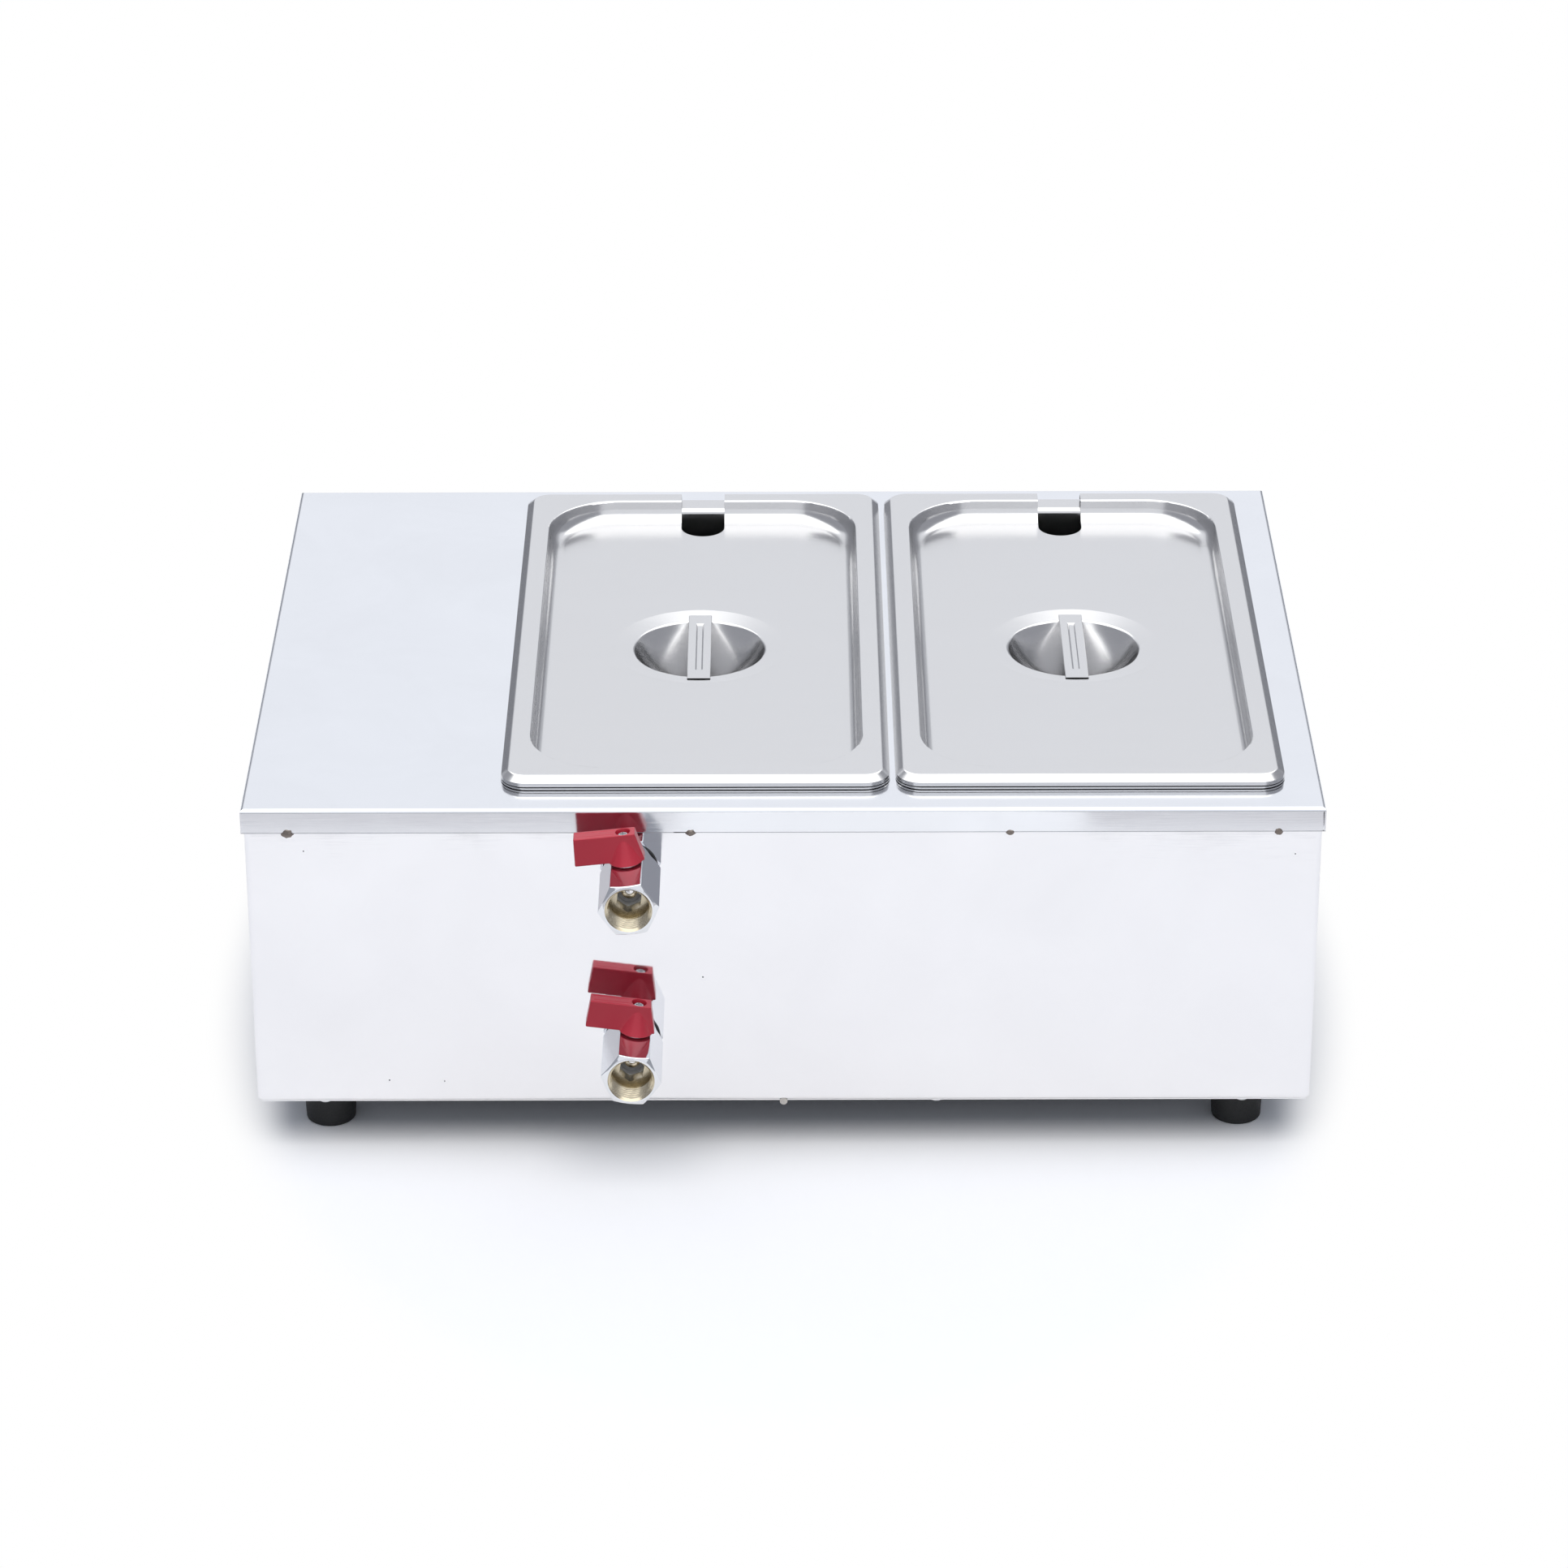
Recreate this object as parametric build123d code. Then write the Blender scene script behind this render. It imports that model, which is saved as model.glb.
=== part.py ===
"""Twin-pan chocolate melter: a stainless water bath with two lidded pans and two drain valves.

Millimetres. +X is right and -Y is the valve side, both as seen by someone who faces the valves, and +Z
is up. The origin is on the floor, at the middle of the plan box. The valve side is called the front.
"""

from build123d import *
import math
import os

os.makedirs("parts", exist_ok=True)

# Casing, folded from thin stainless sheet
body_height = 151.6
foot_height = 24.0
sheet = 0.8
skirt_height = 11.6
skirt_gap_side = 0.3
skirt_gap_front = 1.2
cover_bend = 1.65
corner_slit = 0.4
corner_tab = 1.0
body_bend = 2.8
lower_bend = 2.0
flange_width = 12.0
plate_inset = 2.0

# Gastronorm third-size pans, side by side and towards the right
pan_width = 176.0
pan_length = 325.0
pan_depth = 100.0
pan_sheet = 0.8
pan_flange = 12.0
pan_corner = 12.0
pan_mouth_corner = 26.0
pan_draft = 3.5
pan_floor_radius = 12.0
pan_mouth_radius = 2.5
pan_gap = 2.5
pan_seat_gap = 0.35
pan_margin_left = 115.5
pan_margin_right = 16.2
pan_margin_front = 19.3
pan_margin_rear = 14.4
cutout_clearance = 3.0

# Stamped lids with a dished finger grip
lid_sheet = 0.7
lid_inset = 0.3
lid_seat_gap = 0.45
lid_rise = 6.0
lid_corner = 11.0
lid_edge = 1.8
lid_chamfer = 3.2
lid_rim = 12.0
recess_depth = 10.0
recess_draft = 8.0
recess_corner = 34.0
recess_floor_radius = 6.7
rim_inner_radius = 1.0
rim_outer_radius = 1.5
ring_radius = 41.0
ring_step = 1.3
ring_slope = 8.6
bowl_radius = 31.35
bowl_depth = 20.0
bowl_lip_radius = 1.2
notch_width = 21.5
notch_reach = 33.2
strap_length = 71.0
strap_width = 11.0
strap_sheet = 1.0
groove_length = 51.0
groove_width = 2.8
groove_depth = 0.7

# Water tank, hung under the cover
tank_sheet = 0.8
tank_margin = 4.0
tank_corner = 14.0
tank_floor_radius = 4.0
tank_depth = 132.2
tank_flange = 9.0

# Half-inch drain valves, male behind and female in front
valve_offset = 29.1
upper_valve_drop = 30.6
lower_valve_drop = 117.2
upper_lean = -6.0
lower_lean = 7.5
valve_reach = 41.0
stem_setout = 16.0
hex_flats = 24.0
hex_face_radius = 11.4
boss_radius = 6.3
boss_height = 0.6
hex_chamfer = 1.4
thread_minor_radius = 9.3155
thread_pitch_radius = 9.897
thread_mouth_radius = 10.5
thread_mouth_depth = 0.9
thread_depth = 10.5
joint_clearance = 0.05
gasket_thickness = 1.0
gasket_radius = 12.5
spigot_reach = 14.0
spigot_bore = 6.0
panel_hole_clearance = 0.7
ball_radius = 8.2
ball_bore = 5.0
ball_clearance = 0.15
seat_depth = 3.0
retainer_length = 5.6
retainer_turns = {"upper": 42.5, "lower": 32.5}
socket_flats = 10.7
chamber_clearance = 0.4
stem_radius = 4.4
stem_neck_radius = 3.0
stem_flats = 4.4
packing_radius = 5.6
packing_height = 1.8
tang_thickness = 3.0
tang_depth = 2.2
tang_root = 0.8
neck_drop = 2.0
seat_ring_step = 0.3

# Moulded lever on each valve
lever_left_top = 22.1
lever_left_bottom = 22.9
lever_right_top = 5.4
lever_right_bottom = 8.6
lever_top = 27.0
lever_bottom = 12.9
plate_lift = 0.5
lever_thickness = 7.7
lever_edge_radius = 0.5
hub_radius = 8.1
hub_top_radius = 3.4
hub_top = 25.0
screw_pocket_radius = 3.3
screw_pocket_depth = 2.9
lever_screw_head_radius = 2.5
lever_screw_head_height = 1.7
lever_screw_radius = 1.5
lever_screw_length = 9.0

# Welded half couplings between the tank and the front panel
coupling_radius = 13.0
tank_port_radius = 7.5

# Immersion heater
heater_radius = 4.0
heater_span = 120.0
heater_end_gap = 26.0
heater_rise = 10.0
heater_tail = 26.0
heater_pin_radius = 1.6
heater_pin_length = 9.0
bushing_radius = 7.0
bushing_head_radius = 9.5
bushing_head = 2.5
bushing_length = 13.0
washer_radius = 10.0
washer_thickness = 1.5
bushing_nut_flats = 19.0
bushing_nut_height = 4.0

# Thermostat with a liquid-filled bulb
thermostat_width = 42.0
thermostat_height = 36.0
thermostat_depth = 26.0
thermostat_corner = 3.0
thermostat_bracket = 1.2
thermostat_bracket_width = 50.0
spindle_radius = 3.0
spindle_flat = 1.5
spindle_bush_radius = 4.6
spindle_short = 6.0
spindle_sink = 4.0
thermostat_screw_pitch = 28.0
thermostat_screw_radius = 1.9
thermostat_screw_head_radius = 3.4
thermostat_screw_head = 2.0
thermostat_screw_length = 5.0
tab_length = 8.0
tab_width = 6.3
tab_thickness = 0.8
bulb_radius = 3.0
bulb_length = 90.0
bulb_setback = 42.0
bulb_rise = 22.0
capillary_radius = 0.9
capillary_offset = 8.4
capillary_lead = 24.0
bulb_inset = 19.0
gland_nut_flats = 12.0
gland_nut_height = 5.0
gland_stub_radius = 4.5
bracket_sheet = 1.0
bracket_width = 16.0

# Knob, switch and lamp on the rear face of the left compartment
knob_reach = 25.0
knob_gap = 1.0
knob_skirt_radius = 22.0
knob_skirt_height = 6.0
knob_grip_width = 11.0
knob_grip_length = 38.0
knob_edge = 1.5
knob_hub_radius = 6.0
knob_recess_radius = 19.0
knob_recess_depth = 3.2
knob_height_above_base = 96.0
switch_margin = 4.0
lamp_margin = 12.0
switch_height_above_base = 46.0
switch_bezel_width = 21.0
switch_bezel_height = 30.0
switch_bezel = 2.0
switch_body_width = 18.6
switch_body_height = 27.0
switch_body_depth = 22.0
switch_wall = 1.6
rocker_radius = 11.0
rocker_clearance = 0.4
rocker_sink = 4.5
rocker_setout = 0.5
rocker_well = 7.2
rocker_proud = 3.2
rocker_tilt = 9.0
rocker_pin_radius = 1.4
rocker_pin_length = 0.9
lamp_bezel_radius = 7.5
lamp_bezel = 1.6
lamp_body_radius = 5.0
lamp_body_depth = 24.0
lamp_lens_radius = 5.6
lamp_lens_height = 4.0
lamp_lens_edge = 2.8
bezel_edge = 0.9

# Cable gland, bare because no lead is shown
gland_height_above_base = 19.0
gland_thread_radius = 8.0
gland_bore_radius = 4.2
gland_hex_flats = 22.0
gland_hex = 5.0
gland_collar_radius = 7.6
gland_collar_length = 12.5
gland_cap_flats = 20.0
gland_cap_start = 6.0
gland_cap_length = 13.0
gland_cap_radius = 10.8
gland_cap_dome = 4.3
gland_inner = 10.0
gland_nut_thickness = 4.5

# Terminal block and earth stud on the base plate
block_length = 40.0
block_width = 20.0
block_height = 15.0
block_setback = 78.0
block_offset = -14.0
block_poles = 3
block_corner = 1.5
block_way_rise = 5.0
terminal_screw_length = 5.0
terminal_screw_rise = 8.8
terminal_screw_radius = 2.0
terminal_tube_radius = 2.1
earth_stud_radius = 2.5
earth_stud_height = 16.0
earth_stud_setback = 45.0
earth_stud_offset = 34.0
small_nut_flats = 8.0
small_nut_height = 4.0
ring_terminal_height = 3.0

# Rubber feet and the screws that hold the plates
foot_inset = 31.0
foot_top_radius = 12.75
foot_bottom_radius = 11.4
foot_pocket_radius = 6.5
foot_pocket_depth = 12.0
foot_edge = 1.2
foot_screw_radius = 2.5
foot_screw_head_radius = 4.75
foot_screw_head = 3.0
hole_clearance = 0.15
panel_screw_radius = 1.45
panel_screw_head_radius = 3.0
panel_screw_head = 1.6
panel_screw_length = 7.0
base_screws_per_side = 4
rear_screws_per_side = 3
cross_width = 0.9
cross_reach = 1.1
cross_sink = 0.55
dome_share = 0.45
weld_radius = 1.75
weld_height = 0.5
front_weld_places = (-222.2, -41.5, 101.8, 222.2)

# Wiring
wire_radius = 1.1
lamp_wire_radius = 0.8
wire_lead = 10.5
lamp_wire_spread = 2.5
bend_share = 0.45

# Levels and faces that follow from the sizes above
cover_width = pan_margin_left + 2 * pan_width + pan_gap + pan_margin_right
cover_depth = pan_margin_front + pan_length + pan_margin_rear
cover_top = foot_height + body_height
base_bottom = foot_height
base_top = base_bottom + sheet
wall_top = cover_top - sheet
wrap_top = wall_top - (cover_bend - sheet)
body_width = cover_width - 2 * (sheet + skirt_gap_side)
body_depth = cover_depth - 2 * (sheet + skirt_gap_front)
plan_depth = valve_reach + body_depth + knob_reach
front_face = -plan_depth / 2 + valve_reach
front_inner = front_face + sheet
rear_face = front_face + body_depth
rear_inner = rear_face - sheet
cover_y = (front_face + rear_face) / 2
cover_front = cover_y - cover_depth / 2
skirt_bottom = cover_top - skirt_height
wall_x = body_width / 2

pan_y = cover_front + pan_margin_front + pan_length / 2
right_pan_x = cover_width / 2 - pan_margin_right - pan_width / 2
left_pan_x = right_pan_x - pan_width - pan_gap
pan_places = {"left": left_pan_x, "right": right_pan_x}
valve_x = left_pan_x - valve_offset
flange_bottom = cover_top + pan_seat_gap
flange_top = flange_bottom + pan_sheet
lid_bottom = flange_top + lid_seat_gap
lid_top = cover_top + lid_rise
mouth_width = pan_width - 2 * pan_flange
mouth_length = pan_length - 2 * pan_flange
cutout_width = mouth_width + 2 * cutout_clearance
cutout_length = mouth_length + 2 * cutout_clearance

tank_left = left_pan_x - cutout_width / 2 - tank_margin
tank_right = right_pan_x + cutout_width / 2 + tank_margin
tank_front = pan_y - cutout_length / 2 - tank_margin
tank_rear = pan_y + cutout_length / 2 + tank_margin
tank_width = tank_right - tank_left
tank_length = tank_rear - tank_front
tank_x = (tank_left + tank_right) / 2
tank_floor = wall_top - tank_depth

stem_y = front_face - stem_setout
valve_levels = {"upper": cover_top - upper_valve_drop, "lower": cover_top - lower_valve_drop}
valve_leans = {"upper": upper_lean, "lower": lower_lean}

control_x = (flange_width - wall_x + tank_left) / 2
knob_z = base_bottom + knob_height_above_base
switch_x = flange_width - wall_x + switch_margin + switch_bezel_width / 2
lamp_x = tank_left - lamp_margin - lamp_bezel_radius
switch_z = base_bottom + switch_height_above_base
gland_z = base_bottom + gland_height_above_base
heater_z = tank_floor + heater_rise + heater_radius
bulb_y = tank_rear - bulb_setback
bulb_z = tank_floor + bulb_rise
block_x = control_x + block_offset
block_y = rear_face - block_setback
block_pitch = block_length / block_poles
earth_x = control_x + earth_stud_offset
earth_y = rear_face - earth_stud_setback


from_end = (Align.CENTER, Align.CENTER, Align.MIN)


def rod(radius, length, place, axis):
    """A round bar that starts at place and runs along axis."""
    return Plane(origin=place, z_dir=axis) * Cylinder(radius, length, align=from_end)


def taper_rod(start_radius, end_radius, length, place, axis):
    """A cone that starts at place and runs along axis."""
    return Plane(origin=place, z_dir=axis) * Cone(start_radius, end_radius, length, align=from_end)


def block(x_range, y_range, z_range):
    """A box between two limits on each axis."""
    size = [high - low for low, high in (x_range, y_range, z_range)]
    middle = [(high + low) / 2 for low, high in (x_range, y_range, z_range)]
    return Pos(*middle) * Box(*size)


def round_slab(width, length, corner, height, x, y, z, taper=0.0):
    """A slab with round plan corners that rises from z, or hangs from it where height is negative."""
    outline = Pos(x, y, z) * RectangleRounded(width, length, corner)
    return extrude(outline, amount=height, taper=taper)


def hex_bar(flats, length, place, axis, turn=0.0):
    """A six-sided bar, with a flat on top where the bar lies level."""
    outline = Rot(0, 0, turn) * RegularPolygon(radius=flats / 2, side_count=6, major_radius=False)
    return Plane(origin=place, x_dir=level_x(axis), z_dir=axis) * extrude(outline, amount=length)


def level_x(axis):
    """The sideways direction that a bar's outline starts from."""
    return (0, 1, 0) if abs(axis[0]) > 0.5 else (1, 0, 0)


def edges_at(shape, level, axis=Axis.Z, slack=0.01):
    """The edges that lie wholly at one level along an axis."""
    return shape.edges().filter_by_position(axis, level - slack, level + slack)


def tube(points, radius):
    """A round wire along straight runs that are joined by arcs as large as the runs allow."""
    spots = [Vector(*point) for point in points]
    runs = [end - start for start, end in zip(spots, spots[1:])]
    radii = []
    for before, after in zip(runs, runs[1:]):
        half_turn = math.radians(before.get_angle(after)) / 2
        radii.append(bend_share * min(before.length, after.length) / math.tan(half_turn))
    path = FilletPolyline(*spots, radius=radii)
    print("wire", "length", round(path.length, 1), "tightest bend", round(min(radii), 1))
    return sweep(Plane(origin=spots[0], z_dir=runs[0]) * Circle(radius), path=path)


def run(start, leave, bows, arrive, end, radius=wire_radius):
    """One wire that leaves its start and meets its end squarely.

    Each bow between is a share of the way there and how far the wire lies off the straight line.
    """
    first = Vector(*start) + Vector(*leave)
    last = Vector(*end) + Vector(*arrive)
    middle = [first + (last - first) * share + Vector(*offset) for share, *offset in bows]
    return tube([start, first, *middle, last, end], radius)


def cross_slot(head_radius, depth):
    """The cross recess of a screw, cut down from z = 0."""
    arm = Box(head_radius * cross_reach, cross_width, 2 * depth)
    return arm + Rot(0, 0, 90) * arm


def pan_screw(radius, head_radius, head, length):
    """A round-headed screw: the head stands on z = 0 and the shank hangs below it."""
    dome = Cylinder(head_radius, head, align=from_end)
    dome = fillet(edges_at(dome, head), head * dome_share)
    shank = Cylinder(radius, length, align=(Align.CENTER, Align.CENTER, Align.MAX))
    return dome + shank - Pos(0, 0, head) * cross_slot(head_radius, head * cross_sink)


def spaced(count, span):
    """Evenly spaced offsets about zero that cover a span."""
    return [span * (step / (count - 1) - 0.5) for step in range(count)]


def is_round(edge, radius):
    """Whether an edge is an arc or circle of that radius."""
    return edge.geom_type == GeomType.CIRCLE and abs(edge.radius - radius) < joint_clearance


def group(solids):
    """Separate solids kept as one node."""
    return Compound(children=list(solids))


# Casing


def screw_rows():
    """Places of the screws that hold the base plate, in a row along the front and one along the rear."""
    rows = (front_face + flange_width / 2, rear_inner - flange_width / 2)
    return [(x, y) for y in rows for x in spaced(base_screws_per_side, body_width - 2 * foot_inset)]


def rear_screw_places():
    """Places of the screws that hold the rear panel to the flanges of the side walls."""
    middle = (base_top + skirt_bottom) / 2
    sides = (-wall_x + flange_width / 2, wall_x - flange_width / 2)
    span = skirt_bottom - base_top - 2 * flange_width
    return [(x, middle + z) for x in sides for z in spaced(rear_screws_per_side, span)]


def foot_places():
    """Centres of the four feet."""
    return [
        (x, y)
        for x in (-wall_x + foot_inset, wall_x - foot_inset)
        for y in (front_face + foot_inset, rear_face - foot_inset)
    ]


def make_housing():
    """Front wall and side walls in one wrap, with a return flange below and behind."""
    wrap_depth = body_depth - sheet
    wrap_y = front_face + wrap_depth / 2
    height = wrap_top - base_top
    outer = round_slab(body_width, wrap_depth, body_bend, height, 0, wrap_y, base_top)
    outer = fillet(edges_at(outer, base_top), lower_bend)
    inner = round_slab(
        body_width - 2 * sheet, wrap_depth - 2 * sheet, body_bend - sheet, height, 0, wrap_y, base_top + sheet
    )
    inner = fillet(edges_at(inner, base_top + sheet), lower_bend - sheet)
    reach_x = wall_x - flange_width
    below = block(
        (-reach_x, reach_x),
        (front_face + flange_width, rear_inner - flange_width),
        (base_top - sheet, base_top + 2 * sheet),
    )
    y_range = (rear_inner - 2 * sheet, rear_inner + sheet)
    behind = block((-reach_x, reach_x), y_range, (base_top + sheet, cover_top))
    wrap = outer - inner - below - behind
    hole = thread_pitch_radius + panel_hole_clearance
    for level in valve_levels.values():
        wrap -= rod(hole, 3 * sheet, (valve_x, front_face - sheet, level), (0, 1, 0))
    small = panel_screw_radius + hole_clearance
    for x, y in screw_rows():
        wrap -= rod(small, 3 * sheet, (x, y, base_top - sheet), (0, 0, 1))
    for x, z in rear_screw_places():
        wrap -= rod(small, 3 * sheet, (x, rear_inner - 2 * sheet, z), (0, 1, 0))
    return wrap


def make_rear_panel():
    """Flat rear panel, drilled for the controls of the left compartment."""
    panel = block((plate_inset - wall_x, wall_x - plate_inset), (rear_inner, rear_face), (base_top, wrap_top))
    start = rear_inner - sheet
    through = 3 * sheet
    half_pitch = thermostat_screw_pitch / 2
    round_holes = [
        (spindle_bush_radius + hole_clearance, control_x, knob_z),
        (thermostat_screw_radius + hole_clearance, control_x - half_pitch, knob_z),
        (thermostat_screw_radius + hole_clearance, control_x + half_pitch, knob_z),
        (lamp_body_radius + hole_clearance, lamp_x, switch_z),
        (gland_thread_radius + hole_clearance, control_x, gland_z),
    ]
    round_holes += [(panel_screw_radius + hole_clearance, x, z) for x, z in rear_screw_places()]
    for radius, x, z in round_holes:
        panel -= rod(radius, through, (x, start, z), (0, 1, 0))
    half_x = switch_body_width / 2 + hole_clearance
    half_z = switch_body_height / 2 + hole_clearance
    z_range = (switch_z - half_z, switch_z + half_z)
    return panel - block((switch_x - half_x, switch_x + half_x), (start, start + through), z_range)


def make_base_plate():
    """Flat base plate under the wrap's return flange."""
    plate = block(
        (plate_inset - wall_x, wall_x - plate_inset),
        (front_face + plate_inset, rear_face - plate_inset),
        (base_bottom, base_top),
    )
    for x, y in foot_places():
        plate -= rod(foot_screw_radius + hole_clearance, 3 * sheet, (x, y, base_bottom - sheet), (0, 0, 1))
    for x, y in screw_rows():
        plate -= rod(panel_screw_radius + hole_clearance, 3 * sheet, (x, y, base_bottom - sheet), (0, 0, 1))
    return plate


def make_cover():
    """Top cover with a skirt on all sides, open at the right corners, and a cut-out for each pan."""
    outer = block(
        (-cover_width / 2, cover_width / 2),
        (cover_front, cover_front + cover_depth),
        (skirt_bottom, cover_top),
    )
    outer = fillet(edges_at(outer, cover_top), cover_bend)
    half_x = cover_width / 2 - sheet
    half_y = cover_depth / 2 - sheet
    inner = block((-half_x, half_x), (cover_y - half_y, cover_y + half_y), (skirt_bottom - sheet, wall_top))
    inner = fillet(edges_at(inner, wall_top), cover_bend - sheet)
    cover = outer - inner
    for x in pan_places.values():
        corner = pan_mouth_corner + cutout_clearance
        cover -= round_slab(cutout_width, cutout_length, corner, 3 * sheet, x, pan_y, wall_top - sheet)
    slit_x = cover_width / 2 - corner_tab
    return cover - block(
        (slit_x - corner_slit / 2, slit_x + corner_slit / 2),
        (cover_y - cover_depth, cover_y + cover_depth),
        (skirt_bottom - sheet, cover_top - cover_bend),
    )


def make_tack_welds(solids_near):
    """Tack welds under the skirt, and one at the middle of the front's lower edge."""
    spots = []
    for x in front_weld_places:
        depth = skirt_gap_front + weld_height
        for face, way in ((front_face, -1), (rear_face, 1)):
            spots.append(rod(weld_radius, depth, (x, face, skirt_bottom), (0, way, 0)))
    for y in spaced(2, cover_depth - 4 * foot_inset):
        depth = skirt_gap_side + weld_height
        for way in (-1, 1):
            spots.append(rod(weld_radius, depth, (way * wall_x, cover_y + y, skirt_bottom), (way, 0, 0)))
    lower = (0, front_face + plate_inset, base_bottom + sheet / 2)
    spots.append(rod(weld_radius, plate_inset, lower, (0, -1, 0)))
    welds = []
    for spot in spots:
        for solid in solids_near:
            spot = spot - solid
        welds.append(max(spot.solids(), key=lambda piece: piece.volume))
    return group(welds)


def make_feet():
    """Rubber feet, tapered, with a pocket for the screw head."""
    foot = taper_rod(foot_bottom_radius, foot_top_radius, foot_height, (0, 0, 0), (0, 0, 1))
    foot = fillet(edges_at(foot, 0), foot_edge)
    foot -= rod(foot_pocket_radius, foot_pocket_depth, (0, 0, 0), (0, 0, 1))
    foot -= rod(foot_screw_radius + hole_clearance, foot_height, (0, 0, 0), (0, 0, 1))
    return group(Pos(x, y, 0) * foot for x, y in foot_places())


def make_foot_screws():
    """Screws that come up through the feet and the base plate."""
    length = base_top + small_nut_height + sheet - foot_pocket_depth
    screw = Rot(180, 0, 0) * pan_screw(foot_screw_radius, foot_screw_head_radius, foot_screw_head, length)
    return group(Pos(x, y, foot_pocket_depth) * screw for x, y in foot_places())


def make_nut(flats, height, bore, place, axis, turn=0.0):
    """A hexagon nut with a plain bore."""
    return hex_bar(flats, height, place, axis, turn) - rod(bore, height, place, axis)


def make_foot_nuts():
    """Nuts on the foot screws, inside the casing."""
    bore = foot_screw_radius + joint_clearance
    nut = make_nut(small_nut_flats, small_nut_height, bore, (0, 0, 0), (0, 0, 1))
    return group(Pos(x, y, base_top) * nut for x, y in foot_places())


def make_base_screws():
    """Screws from below through the base plate and the return flange."""
    screw = Rot(180, 0, 0) * pan_screw(
        panel_screw_radius, panel_screw_head_radius, panel_screw_head, panel_screw_length
    )
    return group(Pos(x, y, base_bottom) * screw for x, y in screw_rows())


def make_rear_screws():
    """Screws from behind through the rear panel and the side flanges."""
    screw = Rot(-90, 0, 0) * pan_screw(
        panel_screw_radius, panel_screw_head_radius, panel_screw_head, panel_screw_length
    )
    return group(Pos(x, rear_face, z) * screw for x, z in rear_screw_places())


# Tank, pans and lids


def make_tank():
    """Water tank with a rim that meets the underside of the cover."""
    height = wall_top - tank_floor
    outer_corner = tank_corner + tank_sheet
    outer = round_slab(
        tank_width + 2 * tank_sheet,
        tank_length + 2 * tank_sheet,
        outer_corner,
        height + tank_sheet,
        tank_x,
        pan_y,
        tank_floor - tank_sheet,
    )
    outer = fillet(edges_at(outer, tank_floor - tank_sheet), tank_floor_radius + tank_sheet)
    reach = 2 * (tank_sheet + tank_flange)
    outer += round_slab(
        tank_width + reach,
        tank_length + reach,
        outer_corner + tank_flange,
        tank_sheet,
        tank_x,
        pan_y,
        wall_top - tank_sheet,
    )
    inner = round_slab(tank_width, tank_length, tank_corner, height, tank_x, pan_y, tank_floor)
    inner = fillet(edges_at(inner, tank_floor), tank_floor_radius)
    tank = outer - inner
    through = 3 * tank_sheet
    for level in valve_levels.values():
        tank -= rod(tank_port_radius, through, (valve_x, tank_front - 2 * tank_sheet, level), (0, 1, 0))
    side_holes = [(bushing_radius + hole_clearance, y, heater_z) for y in heater_legs()]
    side_holes.append((gland_stub_radius + hole_clearance, bulb_y, bulb_z))
    for radius, y, z in side_holes:
        tank -= rod(radius, through, (tank_left - 2 * tank_sheet, y, z), (1, 0, 0))
    return tank


def make_coupling(level):
    """Half coupling between the tank and the front wall that takes a valve's male end."""
    length = tank_front - tank_sheet - front_inner
    start = (valve_x, front_inner, level)
    coupling = rod(coupling_radius, length, start, (0, 1, 0))
    coupling -= rod(thread_pitch_radius + joint_clearance, spigot_reach + tank_sheet, start, (0, 1, 0))
    return coupling - rod(tank_port_radius, length, start, (0, 1, 0))


def edges_inside(shape, level, x, half_width, half_length):
    """The edges at one height that lie within a rectangle about a pan's middle."""
    return [
        edge
        for edge in edges_at(shape, level)
        if abs(edge.center().X - x) < half_width and abs(edge.center().Y - pan_y) < half_length
    ]


def pan_tub(x, grow, depth):
    """The hollow of a pan as a solid, its skin moved out by grow."""
    width = mouth_width + 2 * grow
    length = mouth_length + 2 * grow
    tub = round_slab(width, length, pan_mouth_corner + grow, -depth, x, pan_y, flange_top, pan_draft)
    return fillet(edges_at(tub, flange_top - depth), pan_floor_radius + grow)


def make_pan(x):
    """Deep-drawn pan with a flat rim and drafted walls."""
    rim = round_slab(pan_width, pan_length, pan_corner, -pan_sheet, x, pan_y, flange_top)
    body = pan_tub(x, pan_sheet, pan_depth) + rim
    half_width = (mouth_width + pan_flange) / 2
    half_length = (mouth_length + pan_flange) / 2
    underside = edges_inside(body, flange_bottom, x, half_width, half_length)
    body = fillet(underside, pan_mouth_radius - pan_sheet)
    body -= pan_tub(x, 0, pan_depth - pan_sheet)
    return fillet(edges_inside(body, flange_top, x, half_width, half_length), pan_mouth_radius)


def lid_tub(x, grow):
    """The recess of a lid as a solid, its skin moved out by grow."""
    tub = round_slab(
        pan_width - 2 * (lid_inset + lid_rim - grow),
        pan_length - 2 * (lid_inset + lid_rim - grow),
        recess_corner + grow,
        -recess_depth - grow,
        x,
        pan_y,
        lid_top,
        recess_draft,
    )
    return fillet(edges_at(tub, lid_top - recess_depth - grow), recess_floor_radius + grow)


def ring_cone(x, grow):
    """The sloping ring round a lid's finger bowl as a solid cone, its skin moved out by grow."""
    wide = ring_radius + grow + ring_slope
    narrow = ring_radius + grow - ring_slope
    start = (x, pan_y, lid_top - recess_depth + ring_step - grow)
    return taper_rod(wide, narrow, 2 * ring_step, start, (0, 0, -1))


def lid_dish(x, grow):
    """The ring and the finger bowl of a lid as a solid, its skin moved out by grow."""
    seat = lid_top - recess_depth - ring_step
    sphere_radius = (bowl_radius**2 + bowl_depth**2) / (2 * bowl_depth)
    sphere = Pos(x, pan_y, seat - bowl_depth + sphere_radius) * Sphere(sphere_radius + grow)
    return ring_cone(x, grow) + (sphere & rod(bowl_radius + 2 * grow, bowl_depth + 2 * grow, (x, pan_y, seat), (0, 0, -1)))


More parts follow.
